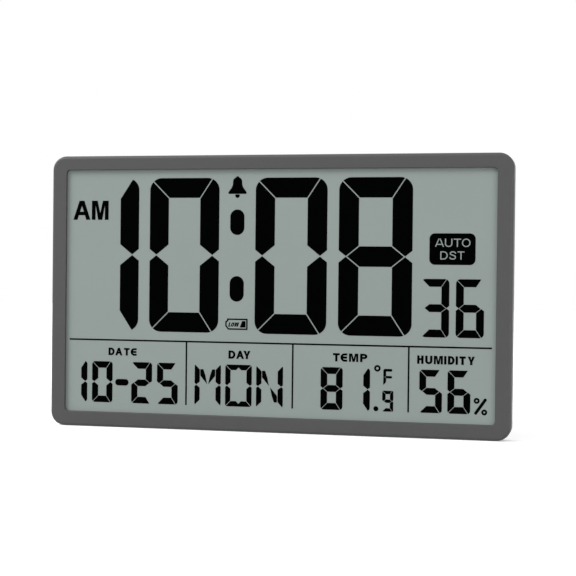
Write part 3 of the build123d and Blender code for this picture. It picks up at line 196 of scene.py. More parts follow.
class StudioSettings(bpy.types.PropertyGroup):
    """Camera, lamps and room light"""

    lens: FloatProperty(
        name="Lens",
        description="Focal length of the camera in millimetres",
        subtype="DISTANCE_CAMERA",
        unit="CAMERA",
        default=88.0,
    )
    azimuth: angle_of(
        "Camera azimuth", "How far the camera stands to the right of the front", 13.192
    )
    elevation: angle_of(
        "Camera elevation", "How far the camera stands above the target", 0.58
    )
    roll: angle_of("Camera roll", "Turn of the camera about its own axis", -0.622)
    distance: length_of(
        "Camera distance", "Distance from the camera to its target", 1.092421
    )
    target: FloatVectorProperty(
        name="Camera target",
        description="Point that the camera looks at",
        subtype="TRANSLATION",
        size=3,
        default=(0.008365, 0.0, 0.11144),
    )
    key_power: power_of("Key light", "Power of the large lamp above and to the left", 338.0)
    fill_power: power_of("Fill light", "Power of the weak lamp to the right", 64.0)
    back_power: power_of("Back light", "Power of the lamp behind the clock", 65.0)
    sky: FloatProperty(
        name="Room light",
        description="Strength of the even light from all round",
        min=0.0,
        default=0.66,
    )


# Node helpers


def put(tree, value, socket):
    """Link a socket to another, or set it to a value."""
    if isinstance(value, bpy.types.NodeSocket):
        tree.links.new(value, socket)
    else:
        socket.default_value = value


def add_node(tree, kind, sockets=(), **properties):
    """New node, with sockets given as pairs of a name or number and a value."""
    made = tree.nodes.new(kind)
    for name, value in properties.items():
        setattr(made, name, value)
    for key, value in sockets:
        put(tree, value, made.inputs[key])
    return made


def calc(tree, operation, *values):
    """Result of a math node on numbers or sockets."""
    return add_node(tree, "ShaderNodeMath", enumerate(values), operation=operation).outputs[0]


def new_finish(name):
    """Empty material with a Principled shader and Object coordinates."""
    finish = bpy.data.materials.new(name)
    finish.use_nodes = True
    tree = finish.node_tree
    shader = tree.nodes["Principled BSDF"]
    place = tree.nodes.new("ShaderNodeTexCoord").outputs["Object"]
    return finish, tree, shader, place


def noise(tree, place, size, detail=3.0, rough=0.55, stretch=None):
    """Noise whose largest blobs are about size metres across."""
    if stretch:
        sockets = [("Vector", place), ("Scale", stretch)]
        place = add_node(tree, "ShaderNodeMapping", sockets).outputs["Vector"]
    sockets = [("Vector", place), ("Scale", 1 / size), ("Detail", detail), ("Roughness", rough)]
    return add_node(tree, "ShaderNodeTexNoise", sockets).outputs["Fac"]


def spread(tree, value, low, high, start=0.3, end=0.7):
    """Noise value mapped to a range."""
    sockets = [("Value", value), ("From Min", start), ("From Max", end)]
    sockets += [("To Min", low), ("To Max", high)]
    return add_node(tree, "ShaderNodeMapRange", sockets).outputs["Result"]


def mixed(tree, factor, first, second):
    """Colour between two colours or sockets, which a Mix node takes at inputs 6 and 7."""
    sockets = [("Factor", factor)]
    for number, colour in ((6, first), (7, second)):
        plain = not isinstance(colour, bpy.types.NodeSocket)
        sockets.append((number, (*colour, 1.0) if plain else colour))
    return add_node(tree, "ShaderNodeMix", sockets, data_type="RGBA").outputs[2]


def wander(tree, value, first, second):
    """Colour that follows a noise value from one colour to another."""
    return mixed(tree, spread(tree, value, 0.0, 1.0), first, second)


def shade(colour, share):
    """Colour made lighter or darker by a share."""
    return tuple(min(1.0, max(0.0, c * (1 + share))) for c in colour)


def uneven(tree, value, colour, darker, lighter):
    """Colour that a noise value makes a little darker or lighter."""
    return wander(tree, value, shade(colour, -darker), shade(colour, lighter))


def dress(tree, shader, tint, polish, low, high):
    """Give a shader its colour, and a roughness that follows a noise value."""
    put(tree, tint, shader.inputs["Base Color"])
    put(tree, spread(tree, polish, low, high), shader.inputs["Roughness"])


def bump(tree, shader, height, depth, strength=1.0):
    """Relief of a depth in metres on the shader's normal."""
    sockets = [("Strength", strength), ("Distance", depth), ("Height", height)]
    put(tree, add_node(tree, "ShaderNodeBump", sockets).outputs["Normal"], shader.inputs["Normal"])


def moulded(name, colour, roughness, grain, depth, mottle=0.05):
    """Moulded plastic, rubber or resin with a fine texture and slight unevenness."""
    cloud_size, polish_size, play = 0.018, 0.006, 0.05
    finish, tree, shader, place = new_finish(name)
    tint = uneven(tree, noise(tree, place, cloud_size, 4.0), colour, mottle, mottle)
    polish = noise(tree, place, polish_size, 5.0)
    dress(tree, shader, tint, polish, roughness - play, roughness + play)
    bump(tree, shader, noise(tree, place, grain, 2.0), depth)
    return finish


def plated(name, colour, roughness, stretch=None):
    """Plated or rolled metal, with marks drawn out along one direction where it has one."""
    mark_size, mark_depth = 0.0006, 0.000004
    darker, lighter, smoother, rougher = 0.16, 0.10, 0.07, 0.09
    finish, tree, shader, place = new_finish(name)
    shader.inputs["Metallic"].default_value = 1.0
    marks = noise(tree, place, mark_size, 4.0, 0.6, stretch)
    tint = uneven(tree, marks, colour, darker, lighter)
    dress(tree, shader, tint, marks, roughness - smoother, roughness + rougher)
    bump(tree, shader, marks, mark_depth)
    return finish


def display_layer(name, colour, patch, share, gloss):
    """Even layer of the display under a haze of fine beads."""
    bead_size, bead_height = 0.00012, 0.000002
    finish, tree, shader, place = new_finish(name)
    tint = uneven(tree, noise(tree, place, patch, 2.0), colour, share, share)
    beads = noise(tree, place, bead_size, 1.0)
    dress(tree, shader, tint, beads, 0.50, 0.62)
    shader.inputs["Specular IOR Level"].default_value = gloss
    bump(tree, shader, beads, bead_height)
    return finish


def clear_glass(name):
    """Clear float glass with a slight green body and faint cleaning streaks."""
    finish, tree, shader, place = new_finish(name)
    streaks = noise(tree, place, 0.03, 3.0, 0.6, (1.0, 1.0, 0.25))
    tint = wander(tree, streaks, (0.86, 0.91, 0.89), (0.90, 0.94, 0.92))
    dress(tree, shader, tint, streaks, 0.01, 0.06)
    shader.inputs["Transmission Weight"].default_value = 1.0
    shader.inputs["IOR"].default_value = 1.52
    return finish


def along(tree, place, axis):
    """Coordinate along one axis."""
    return add_node(tree, "ShaderNodeSeparateXYZ", [("Vector", place)]).outputs[axis]


def banded(tree, place, pitch, axis, share):
    """One along narrow bands of a pitch in metres, and nought between them."""
    turns = calc(tree, "MULTIPLY", along(tree, place, axis), 1 / pitch)
    return calc(tree, "LESS_THAN", calc(tree, "FRACT", turns), share)


def board_finish():
    """Green solder resist over copper tracks."""
    finish, tree, shader, place = new_finish("solder_resist_board")
    pitch, width = 0.0013, 0.38
    rows = banded(tree, place, pitch, "Z", width)
    columns = banded(tree, place, pitch, "X", width)
    chosen = calc(tree, "GREATER_THAN", noise(tree, place, 0.011, 0.0), 0.5)
    # A Mix node takes its factor at input 0 and two numbers at inputs 2 and 3
    tracks = add_node(tree, "ShaderNodeMix", [(0, chosen), (2, rows), (3, columns)]).outputs[0]
    weave = noise(tree, place, 0.0008, 2.0)
    resist = wander(tree, weave, (0.012, 0.100, 0.040), (0.018, 0.130, 0.055))
    tint = mixed(tree, tracks, resist, (0.050, 0.230, 0.090))
    dress(tree, shader, tint, weave, 0.24, 0.36)
    bump(tree, shader, tracks, 0.00003, 0.8)
    return finish


def ribbon_finish():
    """Amber film with dark conductor stripes."""
    finish, tree, shader, place = new_finish("conductor_ribbon")
    lines = banded(tree, place, 0.0010, "X", 0.5)
    cloud = noise(tree, place, 0.01, 3.0)
    film = wander(tree, cloud, (0.50, 0.30, 0.07), (0.60, 0.38, 0.11))
    dress(tree, shader, mixed(tree, lines, film, (0.16, 0.09, 0.04)), cloud, 0.22, 0.34)
    bump(tree, shader, lines, 0.00002, 0.6)
    return finish


def cell_finish():
    """Plain cell: a dark jacket with a light band, between bare steel ends."""
    finish, tree, shader, place = new_finish("cell_jacket")
    low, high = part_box("battery_cell_upper")
    half_jacket, half_dark = 0.0243, 0.0205
    shifted = calc(tree, "SUBTRACT", along(tree, place, "X"), (low.x + high.x) / 2)
    away = calc(tree, "ABSOLUTE", shifted)
    bare = calc(tree, "GREATER_THAN", away, half_jacket)
    band = calc(tree, "GREATER_THAN", away, half_dark)
    scuffs = noise(tree, place, 0.004, 5.0)
    jacket = wander(tree, scuffs, (0.020, 0.030, 0.045), (0.030, 0.042, 0.060))
    jacket = mixed(tree, band, jacket, (0.34, 0.36, 0.38))
    dress(tree, shader, mixed(tree, bare, jacket, (0.62, 0.62, 0.60)), scuffs, 0.26, 0.42)
    put(tree, bare, shader.inputs["Metallic"])
    bump(tree, shader, scuffs, 0.00001)
    return finish


def ceramic_finish():
    """Silvered ceramic of the sounder with crystal grain."""
    finish, tree, shader, place = new_finish("silvered_ceramic")
    grain = noise(tree, place, 0.0005, 3.0)
    tint = wander(tree, grain, (0.62, 0.61, 0.58), (0.76, 0.75, 0.71))
    dress(tree, shader, tint, grain, 0.34, 0.55)
    shader.inputs["Metallic"].default_value = 0.35
    bump(tree, shader, grain, 0.000008)
    return finish


def make_finishes(settings):
    """One finish for each material slot of the record."""
    grain = settings.shell_grain
    rough = settings.shell_roughness
    along_width = (0.08, 1.0, 1.0)
    # Mouldings give their roughness, the grain's width and depth in metres, and their mottle
    return {
        "shell_plastic": moulded("satin_shell", settings.shell, rough, grain, 0.000016, 0.02),
        "button_plastic": moulded("satin_button", (0.030, 0.030, 0.031), 0.44, 0.0003, 0.00001),
        "inner_plastic": moulded("plain_moulding", (0.56, 0.56, 0.54), 0.42, 0.0008, 0.000008),
        "black_foam": moulded("cell_foam", (0.016, 0.016, 0.016), 0.90, 0.0005, 0.00012, 0.15),
        "foot_rubber": moulded("foot_rubber", (0.024, 0.024, 0.024), 0.72, 0.0004, 0.00003, 0.1),
        "lcd_dark": display_layer("display_dark", settings.dark, 0.012, 0.2, 0.004),
        "lcd_film": display_layer("display_film", settings.film, 0.055, 0.012, 0.18),
        "lcd_glass": clear_glass("float_glass"),
        "seal_resin": moulded("cured_resin", (0.26, 0.24, 0.18), 0.30, 0.001, 0.00002, 0.1),
        "reflector": plated("metallised_film", (0.55, 0.58, 0.56), 0.55),
        "screw_steel": plated("zinc_screw", (0.52, 0.52, 0.53), 0.30),
        "hanger_steel": plated("zinc_sheet", (0.58, 0.58, 0.59), 0.34, along_width),
        "tinned_metal": plated("tinned_metal", (0.70, 0.70, 0.67), 0.24, along_width),
        "brass": plated("rolled_brass", (0.72, 0.50, 0.20), 0.30, along_width),
        "sounder_ceramic": ceramic_finish(),
        "circuit_board": board_finish(),
        "black_epoxy": moulded("black_epoxy", (0.012, 0.012, 0.013), 0.30, 0.0009, 0.00001, 0.1),
        "capacitor_sleeve": moulded(
            "capacitor_sleeve", (0.025, 0.033, 0.10), 0.30, 0.001, 0.000006
        ),
        "ribbon_film": ribbon_finish(),
        "wire_insulation": moulded("wire_insulation", (0.30, 0.016, 0.014), 0.38, 0.001, 0.00001),
        "cell_jacket": cell_finish(),
    }


# Flat shapes on the display, drawn in millimetres as seen from the front


def solid_piece(name, build, finish):
    """Mesh object from a bmesh that build fills, riding on the case."""
    shape = bmesh.new()
    build(shape)
    bmesh.ops.triangulate(shape, faces=[f for f in shape.faces if len(f.verts) > 4])
    bmesh.ops.recalc_face_normals(shape, faces=shape.faces)
    mesh = bpy.data.meshes.new(name)
    shape.to_mesh(mesh)
    shape.free()
    piece = bpy.data.objects.new(name, mesh)
    bpy.context.scene.collection.objects.link(piece)
    mesh.materials.append(finish)
    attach(piece, "case")


def plate(shape, outline):
    """Thin plate from a closed outline of (x, z) points."""
    front = [shape.verts.new((x * MM, SIGN_FACE, z * MM)) for x, z in outline]
    back = [shape.verts.new((x * MM, FILM_FACE, z * MM)) for x, z in outline]
    shape.faces.new(front)
    shape.faces.new(reversed(back))
    count = len(outline)
    for i in range(count):
        j = (i + 1) % count
        shape.faces.new((front[i], back[i], back[j], front[j]))


def ring(shape, x, z, outer, inner, steps=40):
    """Flat ring."""
    corners = []
    for depth in (SIGN_FACE, FILM_FACE):
        for radius in (outer, inner):
            loop = []
            for step in range(steps):
                angle = 2 * math.pi * step / steps
                across = (x + radius * math.cos(angle)) * MM
                up = (z + radius * math.sin(angle)) * MM
                loop.append(shape.verts.new((across, depth, up)))
            corners.append(loop)
    order = [corners[0], corners[1], corners[3], corners[2]]
    for first, second in zip(order, order[1:] + order[:1]):
        for step in range(steps):
            after = (step + 1) % steps
            shape.faces.new((first[step], first[after], second[after], second[step]))


def rounded_box(left, right, bottom, top, radius, steps=8):
    """Outline of a box with round corners."""
    outline = []
    centres = [
        (right - radius, bottom + radius, -90),
        (right - radius, top - radius, 0),
        (left + radius, top - radius, 90),
        (left + radius, bottom + radius, 180),
    ]
    for x, z, start in centres:
        for step in range(steps + 1):
            angle = math.radians(start + 90 * step / steps)
            outline.append((x + radius * math.cos(angle), z + radius * math.sin(angle)))
    return outline


def bar(start, end, width, steps=8):
    """Outline of a straight stroke with round ends."""
    direction = math.atan2(end[1] - start[1], end[0] - start[0])
    outline = []
    for centre, turn in ((end, -90), (start, 90)):
        for step in range(steps + 1):
            angle = direction + math.radians(turn + 180 * step / steps)
            outline.append(
                (
                    centre[0] + width / 2 * math.cos(angle),
                    centre[1] + width / 2 * math.sin(angle),
                )
            )
    return outline


def smooth(points, steps=6):
    """Catmull-Rom curve through points, open at both ends."""
    padded = [points[0], *points, points[-1]]
    curve = []
    for before, start, end, after in zip(padded, padded[1:], padded[2:], padded[3:]):
        for step in range(steps):
            t = step / steps
            point = []
            for a, b, c, d in zip(before, start, end, after):
                point.append(
                    0.5
                    * (
                        2 * b
                        + (c - a) * t
                        + (2 * a - 5 * b + 4 * c - d) * t * t
                        + (3 * b - a - 3 * c + d) * t * t * t
                    )
                )
            curve.append(tuple(point))
    curve.append(tuple(points[-1]))
    return curve


def arc(x, z, wide, high, start, end, steps=10):
    """Points along part of an ellipse, from one angle to another in degrees."""
    points = []
    for step in range(steps + 1):
        angle = math.radians(start + (end - start) * step / steps)
        points.append((x + wide * math.cos(angle), z + high * math.sin(angle)))
    return points


def ribbon(line, wide):
    """Outline of a stroke of even width that follows a line of points."""
    sides = ([], [])
    for i, point in enumerate(line):
        before, after = line[max(i - 1, 0)], line[min(i + 1, len(line) - 1)]
        run = Vector((after[0] - before[0], after[1] - before[1])).normalized() * wide / 2
        sides[0].append((point[0] - run.y, point[1] + run.x))
        sides[1].append((point[0] + run.y, point[1] - run.x))
    return sides[0] + sides[1][::-1]


# Middle line of the letter S, for a width and a height of 1
S_LINE = [
    (0.93, 0.70),
    (0.85, 0.86),
    (0.64, 0.93),
    (0.40, 0.925),
    (0.17, 0.84),
    (0.14, 0.68),
    (0.32, 0.585),
    (0.66, 0.49),
    (0.88, 0.375),
    (0.88, 0.20),
    (0.68, 0.085),
    (0.40, 0.07),
    (0.16, 0.13),
    (0.07, 0.31),
]


def letter(name, w, s):
    """Closed outlines of a capital of height 1, width w and stem s, as plain signs have them."""
    t = s * 0.88
    mid = w / 2
    if name == "A":
        slope, foot, apex = (w - 0.27) / 2, s * 0.98, 0.27
        low, high = 0.24, 0.24 + t * 0.92
        tip = (mid - foot) / slope
        return [
            [
                (0, 0),
                (foot, 0),
                (foot + slope * low, low),
                (w - foot - slope * low, low),
                (w - foot, 0),
                (w, 0),
                (mid + apex / 2, 1),
                (mid - apex / 2, 1),
            ],
            [
                (foot + slope * high, high),
                (w - foot - slope * high, high),
                (mid, tip),
            ],
        ]
    if name == "D":
        turn = w * 0.44
        outer = [(0, 0), *arc(turn, 0.5, w - turn, 0.5, -90, 90, 16), (0, 1)]
        inner = [(s, t), *arc(turn, 0.5, w - turn - s, 0.5 - t, -90, 90, 16), (s, 1 - t)]
        return [outer, inner]
    if name == "E":
        half = t / 2
        inner = (0.5 - s, 0.5 - t)
        lift = math.degrees(math.asin(half / inner[1]))
        outline = [(w, 1), *arc(0.5, 0.5, 0.5, 0.5, 90, 270, 18), (w, 0), (w, t)]
        outline += arc(0.5, 0.5, *inner, 270, 180 + lift, 8)
        outline += [(w * 0.97, 0.5 - half), (w * 0.97, 0.5 + half)]
        outline += arc(0.5, 0.5, *inner, 180 - lift, 90, 8) + [(w, 1 - t)]
        return [outline]
    if name == "H":
        low, high = 0.43, 0.43 + t
        return [
            [(0, 0), (s, 0), (s, low), (w - s, low), (w - s, 0), (w, 0), (w, 1)]
            + [(w - s, 1), (w - s, high), (s, high), (s, 1), (0, 1)]
        ]
    if name == "I":
        return [[(0, 0), (w, 0), (w, 1), (0, 1)]]
    if name == "L":
        return [[(0, 0), (w, 0), (w, t), (s, t), (s, 1), (0, 1)]]
    if name == "M":
        top, foot = s * 1.38, s * 0.5
        return [
            [(0, 0), (s * 0.9, 0), (s * 0.9, 0.77), (mid - foot, 0), (mid + foot, 0)]
            + [(w - s * 0.9, 0.77), (w - s * 0.9, 0), (w, 0), (w, 1), (w - top, 1)]
            + [(mid, 0.35), (top, 1), (0, 1)]
        ]
    if name == "O":
        return [
            arc(mid, 0.5, mid, 0.51, 0, 345, 23),
            arc(mid, 0.5, mid - s, 0.51 - t, 0, 345, 23),
        ]
    if name == "P":
        low, turn = 0.37, w * 0.52
        high = (1 + low) / 2
        outer = arc(turn, high, w - turn, 1 - high, -90, 90, 14)
        outer = [(0, 0), (s, 0), (s, low), *outer, (0, 1)]
        inner = arc(turn, high, w - turn - s, 1 - high - t, -90, 90, 14)
        return [outer, [(s, low + t), *inner, (s, 1 - t)]]
    if name == "S":
        line = smooth([(x * w, z) for x, z in S_LINE], 4)
        return [ribbon(line, s * 0.95)]
    if name == "T":
        return [
            [(mid - s / 2, 0), (mid + s / 2, 0), (mid + s / 2, 1 - t), (w, 1 - t)]
            + [(w, 1), (0, 1), (0, 1 - t), (mid - s / 2, 1 - t)]
        ]
    if name == "U":
        turn = 0.37
        outer = arc(mid, turn, mid, turn + 0.01, 180, 360, 16)
        inner = arc(mid, turn, mid - s, turn + 0.01 - t, 360, 180, 16)
        return [[(0, 1), *outer, (w, 1), (w - s, 1), *inner, (s, 1)]]
    if name == "W":
        part, foot = w / 4, s * 0.55
        return [
            [(0, 1), (part - foot, 0), (part + foot, 0), (mid, 0.68), (3 * part - foot, 0)]
            + [(3 * part + foot, 0), (w, 1), (w - s, 1), (3 * part, 0.34), (mid + foot, 1)]
            + [(mid - foot, 1), (part, 0.34), (s, 1)]
        ]
    if name == "Y":
        fork = 0.38
        return [
            [(mid - s / 2, 0), (mid + s / 2, 0), (mid + s / 2, fork), (w, 1)]
            + [(w - s * 1.15, 1), (mid, 0.57), (s * 1.15, 1), (0, 1), (mid - s / 2, fork)]
        ]
    raise ValueError("no outline for the letter " + name)


def word(spans, left, right, bottom, top, stem, lean=0.0):
    """Outlines of a word fitted to a box, from where each letter starts and ends along it."""
    high = top - bottom
    scale = (right - left) / spans[-1][2]
    outlines = []
    for name, start, end in spans:
        for outline in letter(name, (end - start) * scale / high, stem):
            outlines.append(
                [
                    (left + start * scale + x * high + lean * z * high, bottom + z * high)
                    for x, z in outline
                ]
            )
    return outlines


def filled(shape, outlines):
    """Plates from outlines, where an outline within another is a hole."""
    weld_gap = 0.0001
    curve = bpy.data.curves.new("outlines", "CURVE")
    curve.dimensions = "2D"
    curve.fill_mode = "BOTH"
    for outline in outlines:
        spline = curve.splines.new("POLY")
        spline.points.add(len(outline) - 1)
        for point, (x, z) in zip(spline.points, outline):
            point.co = (x, z, 0.0, 1.0)
        spline.use_cyclic_u = True
    holder = bpy.data.objects.new("outlines", curve)
    bpy.context.scene.collection.objects.link(holder)
    bpy.context.view_layer.update()
    ready = holder.evaluated_get(bpy.context.evaluated_depsgraph_get())
    mesh = bpy.data.meshes.new_from_object(ready)
    bpy.data.objects.remove(holder)
    bpy.data.curves.remove(curve)
    flat = bmesh.new()
    flat.from_mesh(mesh)
    bpy.data.meshes.remove(mesh)
    bmesh.ops.remove_doubles(flat, verts=flat.verts, dist=weld_gap)
    for v in flat.verts:
        v.co = (v.co.x * MM, FILM_FACE, v.co.y * MM)
    pushed = bmesh.ops.extrude_face_region(flat, geom=list(flat.faces), use_keep_orig=True)
    for item in pushed["geom"]:
        if isinstance(item, bmesh.types.BMVert):
            item.co.y = SIGN_FACE
    ready_mesh = bpy.data.meshes.new("outlines")
    flat.to_mesh(ready_mesh)
    flat.free()
    shape.from_mesh(ready_mesh)
    bpy.data.meshes.remove(ready_mesh)


# Words, each letter with where it starts and ends along the word
MORNING = [("A", 0, 143), ("M", 155.5, 296)]
AUTO = [("A", 0, 227), ("U", 247, 435), ("T", 463, 651), ("O", 668, 883)]
DST = [("D", 0, 188), ("S", 227, 396), ("T", 430, 605)]
LOW = [("L", 0, 62), ("O", 66, 144), ("W", 150, 262)]
DATE = [("D", 0, 80), ("A", 90, 183), ("T", 205, 277), ("E", 292, 370)]
DAY = [("D", 0, 88), ("A", 98, 198), ("Y", 190, 280)]
TEMP = [("T", 0, 110), ("E", 122, 232), ("M", 260, 410), ("P", 440, 557)]
HUMIDITY = [("H", 0, 106), ("U", 133, 253), ("M", 275, 425), ("I", 445, 484), ("D", 508, 618)]
HUMIDITY += [("I", 634, 673), ("T", 696, 800), ("Y", 831, 950)]
# Word, left, right and bottom in millimetres, and share of the label height
LABELS = [
    (DATE, -134.3, -110.9, 56.6, 0.94),
    (DAY, -35.8, -18.2, 56.2, 1.0),
    (TEMP, 46.8, 73.4, 56.1, 1.0),
    (HUMIDITY, 111.35, 154.6, 55.9, 1.0),
]


def mirrored(x, top, side, steps):
    """Outline that is alike on both sides, from the points of its right side."""
    half = smooth(side, steps)
    right = [(x + dx, top + dz) for dx, dz in half]
    left = [(x - dx, top + dz) for dx, dz in reversed(half[1:-1])]
    return right + left


# Right sides of the bell and its clapper, in millimetres from their middle and top
BELL_SIDE = [
    (0.0, 0.0),
    (0.7, -0.12),
    (1.08, -0.47),
    (1.4, -0.97),
    (2.2, -1.45),
    (2.95, -2.1),
    (3.4, -2.95),
    (3.62, -4.1),
    (3.7, -5.4),
    (3.87, -6.7),
    (4.22, -7.8),
    (4.75, -8.9),
    (5.5, -10.0),
    (6.4, -11.15),
    (7.05, -12.05),
    (7.3, -12.75),
    (7.05, -13.35),
    (6.5, -13.6),
    (0.0, -13.6),
]
CLAPPER_SIDE = [
    (0.0, 0.0),
    (1.3, 0.0),
    (1.72, -0.25),
    (1.85, -0.8),
    (1.65, -1.55),
    (1.15, -2.2),
    (0.55, -2.6),
    (0.0, -2.72),
]


# Screws made by one Geometry Nodes tree


SCREW_INPUTS = [
    ("Head Radius", 0.0022),
    ("Head Height", 0.0016),
    ("Shank Radius", 0.0011),
    ("Shank Length", 0.009),
    ("Recess Length", 0.0027),
    ("Recess Width", 0.0007),
    ("Thread Pitch", 0.0009),
    ("Tilt", 0.0),
]


def screw_tree():
    """Pan head with a cross recess, a threaded shank and a point, on every vertex of the mesh."""
    tree = bpy.data.node_groups.new("threaded_screws", "GeometryNodeTree")
    tree.is_modifier = True
    face = tree.interface
    face.new_socket("Geometry", in_out="INPUT", socket_type="NodeSocketGeometry")
    for name, default in SCREW_INPUTS:
        socket = face.new_socket(name, in_out="INPUT", socket_type="NodeSocketFloat")
        socket.default_value = default
    face.new_socket("Seed", in_out="INPUT", socket_type="NodeSocketInt")
    face.new_socket("Finish", in_out="INPUT", socket_type="NodeSocketMaterial")
    face.new_socket("Geometry", in_out="OUTPUT", socket_type="NodeSocketGeometry")
    given = tree.nodes.new("NodeGroupInput").outputs
    result = tree.nodes.new("NodeGroupOutput")

    def times(value, share):
        return calc(tree, "MULTIPLY", value, share)

    def vector(*parts):
        return add_node(tree, "ShaderNodeCombineXYZ", parts).outputs[0]

    def made(kind, sockets, output="Mesh", **properties):
        return add_node(tree, kind, sockets, **properties).outputs[output]

    def lifted(geometry, height):
        sockets = [("Geometry", geometry), ("Translation", vector((2, height)))]
        return made("GeometryNodeTransform", sockets, "Geometry")

    def cylinder(radius, depth, sides):
        sockets = [("Radius", radius), ("Depth", depth), ("Vertices", sides)]
        return made("GeometryNodeMeshCylinder", sockets)

    def cone(bottom, top, depth, sides):
        sockets = [("Depth", depth), ("Vertices", sides)]
        sockets += [("Radius Bottom", bottom), ("Radius Top", top)]
        return made("GeometryNodeMeshCone", sockets)

    rim_share, crown_share, crown_taper, head_sides = 0.55, 0.45, 0.72, 40
    radius, height = given["Head Radius"], given["Head Height"]
    lower, upper = times(height, rim_share), times(height, crown_share)
    rim = lifted(cylinder(radius, lower, head_sides), times(lower, 0.5))
    crown = lifted(cone(radius, times(radius, crown_taper), upper, head_sides), lower)
    head = made("GeometryNodeMeshBoolean", [("Mesh 2", rim), ("Mesh 2", crown)], operation="UNION")
    long_side, short_side = given["Recess Length"], given["Recess Width"]
    recess = []
    for x, y in ((long_side, short_side), (short_side, long_side)):
        block = made("GeometryNodeMeshCube", [("Size", vector((0, x), (1, y), (2, height)))])
        recess.append(("Mesh 2", lifted(block, height)))
    cut = made("GeometryNodeMeshBoolean", [("Mesh 1", head), *recess], operation="DIFFERENCE")

    core_share, tip_share, blunt_share, ridge_share, shank_sides = 0.80, 1.2, 0.12, 0.18, 24
    shank_radius, shank_length = given["Shank Radius"], given["Shank Length"]
    core = times(shank_radius, core_share)
    tip = times(shank_radius, tip_share)
    plain = calc(tree, "SUBTRACT", shank_length, tip)
    shank = lifted(cylinder(core, plain, shank_sides), times(plain, -0.5))
    blunt = times(core, blunt_share)
    point = lifted(cone(blunt, core, tip, shank_sides), times(shank_length, -1.0))
    sockets = [("Rotations", calc(tree, "DIVIDE", plain, given["Thread Pitch"]))]
    sockets += [("Start Radius", core), ("End Radius", core), ("Height", plain)]
    spiral = made("GeometryNodeCurveSpiral", [*sockets, ("Resolution", 20)], "Curve")
    sockets = [("Resolution", 4), ("Radius", times(shank_radius, ridge_share))]
    ridge = made("GeometryNodeCurvePrimitiveCircle", sockets, "Curve")
    sockets = [("Curve", spiral), ("Profile Curve", ridge), ("Fill Caps", True)]
    coil = lifted(made("GeometryNodeCurveToMesh", sockets), times(plain, -1.0))
    parts = [("Geometry", part) for part in (cut, shank, point, coil)]
    whole = made("GeometryNodeJoinGeometry", parts, "Geometry")

    sockets = [(2, 0.0), (3, 2 * math.pi), ("Seed", given["Seed"])]
    chance = made("FunctionNodeRandomValue", sockets, 1, data_type="FLOAT")
    spun = made("FunctionNodeEulerToRotation", [(0, vector((2, chance)))], 0)
    tilted = made("FunctionNodeEulerToRotation", [(0, vector((0, given["Tilt"])))], 0)
    turn = made("FunctionNodeRotateRotation", [(0, tilted), (1, spun)], 0, rotation_space="LOCAL")
    sockets = [("Points", given["Geometry"]), ("Instance", whole), ("Rotation", turn)]
    placed = made("GeometryNodeInstanceOnPoints", sockets, "Instances")
    real = made("GeometryNodeRealizeInstances", [("Geometry", placed)], "Geometry")
    sockets = [("Geometry", real), ("Material", given["Finish"])]
    painted = made("GeometryNodeSetMaterial", sockets, "Geometry")
    put(tree, painted, result.inputs["Geometry"])
    return tree


def screw_groups(node):
    """Vertices of a CAD node, gathered into one group for each screw."""
    gap = 0.0055
    groups = []
    for vertex in frame["nodes"][node].data.vertices:
        for group in groups:
            first = group[0]
            if abs(first.x - vertex.co.x) < gap and abs(first.z - vertex.co.z) < gap:
                group.append(vertex.co.copy())
                break
        else:
            groups.append([vertex.co.copy()])
    return groups


def screw_facts(node, head_behind):
    """Seat points, and head and shank sizes, measured on the screws of a CAD node."""
    head_share, tip_slack = 0.8, 0.0002
    seats, facts = [], {}
    for group in screw_groups(node):
        near = min(p.y for p in group)
        far = max(p.y for p in group)
        x = (min(p.x for p in group) + max(p.x for p in group)) / 2
        z = (min(p.z for p in group) + max(p.z for p in group)) / 2
        reach = [(math.hypot(p.x - x, p.z - z), p.y) for p in group]
        head = max(r for r, _ in reach)
        wide = [y for r, y in reach if r > head_share * head]
        seat = min(wide) if head_behind else max(wide)
        crown = far if head_behind else near
        tip = near if head_behind else far
        slim = [r for r, y in reach if abs(y - tip) < tip_slack]
        seats.append((x, seat, z))
        facts = {
            "Head Radius": head,
            "Head Height": abs(crown - seat),
            "Shank Radius": max(slim),
            "Shank Length": abs(tip - seat),
        }
    return seats, facts


def make_screws(name, node, head_behind, tree, settings, finish):
    """Detailed screws in place of the plain ones of a CAD node."""
    seats, facts = screw_facts(node, head_behind)
    facts["Recess Length"] = 2 * facts["Head Radius"] * settings.recess_share
    facts["Recess Width"] = 2 * facts["Head Radius"] * settings.recess_width_share
    facts["Thread Pitch"] = settings.thread_pitch
    facts["Tilt"] = math.radians(-90 if head_behind else 90)
    facts["Seed"] = settings.seed
    facts["Finish"] = finish
    mesh = bpy.data.meshes.new(name)
    mesh.from_pydata(seats, [], [])
    piece = bpy.data.objects.new(name, mesh)
    bpy.context.scene.collection.objects.link(piece)
    modifier = piece.modifiers.new("threaded_screws", "NODES")
    modifier.node_group = tree
    for socket in tree.interface.items_tree:
        if socket.in_out == "INPUT" and socket.name in facts:
            modifier[socket.identifier] = facts[socket.name]
    bpy.context.view_layer.update()
    ready = piece.evaluated_get(bpy.context.evaluated_depsgraph_get())
    made = bpy.data.meshes.new_from_object(ready)
    piece.modifiers.clear()
    piece.data = made
    made.name = name
    if not made.polygons:
        raise RuntimeError(name + " came out empty")
    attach(piece, "case")
    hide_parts(node)


# Operators


class CLOCK_OT_finishes(bpy.types.Operator):
    """Give every CAD node the finish of its material slot"""

    bl_idname = "clock.finishes"
    bl_label = "Finishes"

    def execute(self, context):
        finishes = make_finishes(context.scene.clock_finishes)
        for row in frame["record"]["subparts"]:
            mesh = frame["nodes"][row["node"]].data
            mesh.materials.clear()
            mesh.materials.append(finishes[row["material_slot"]])
        return {"FINISHED"}


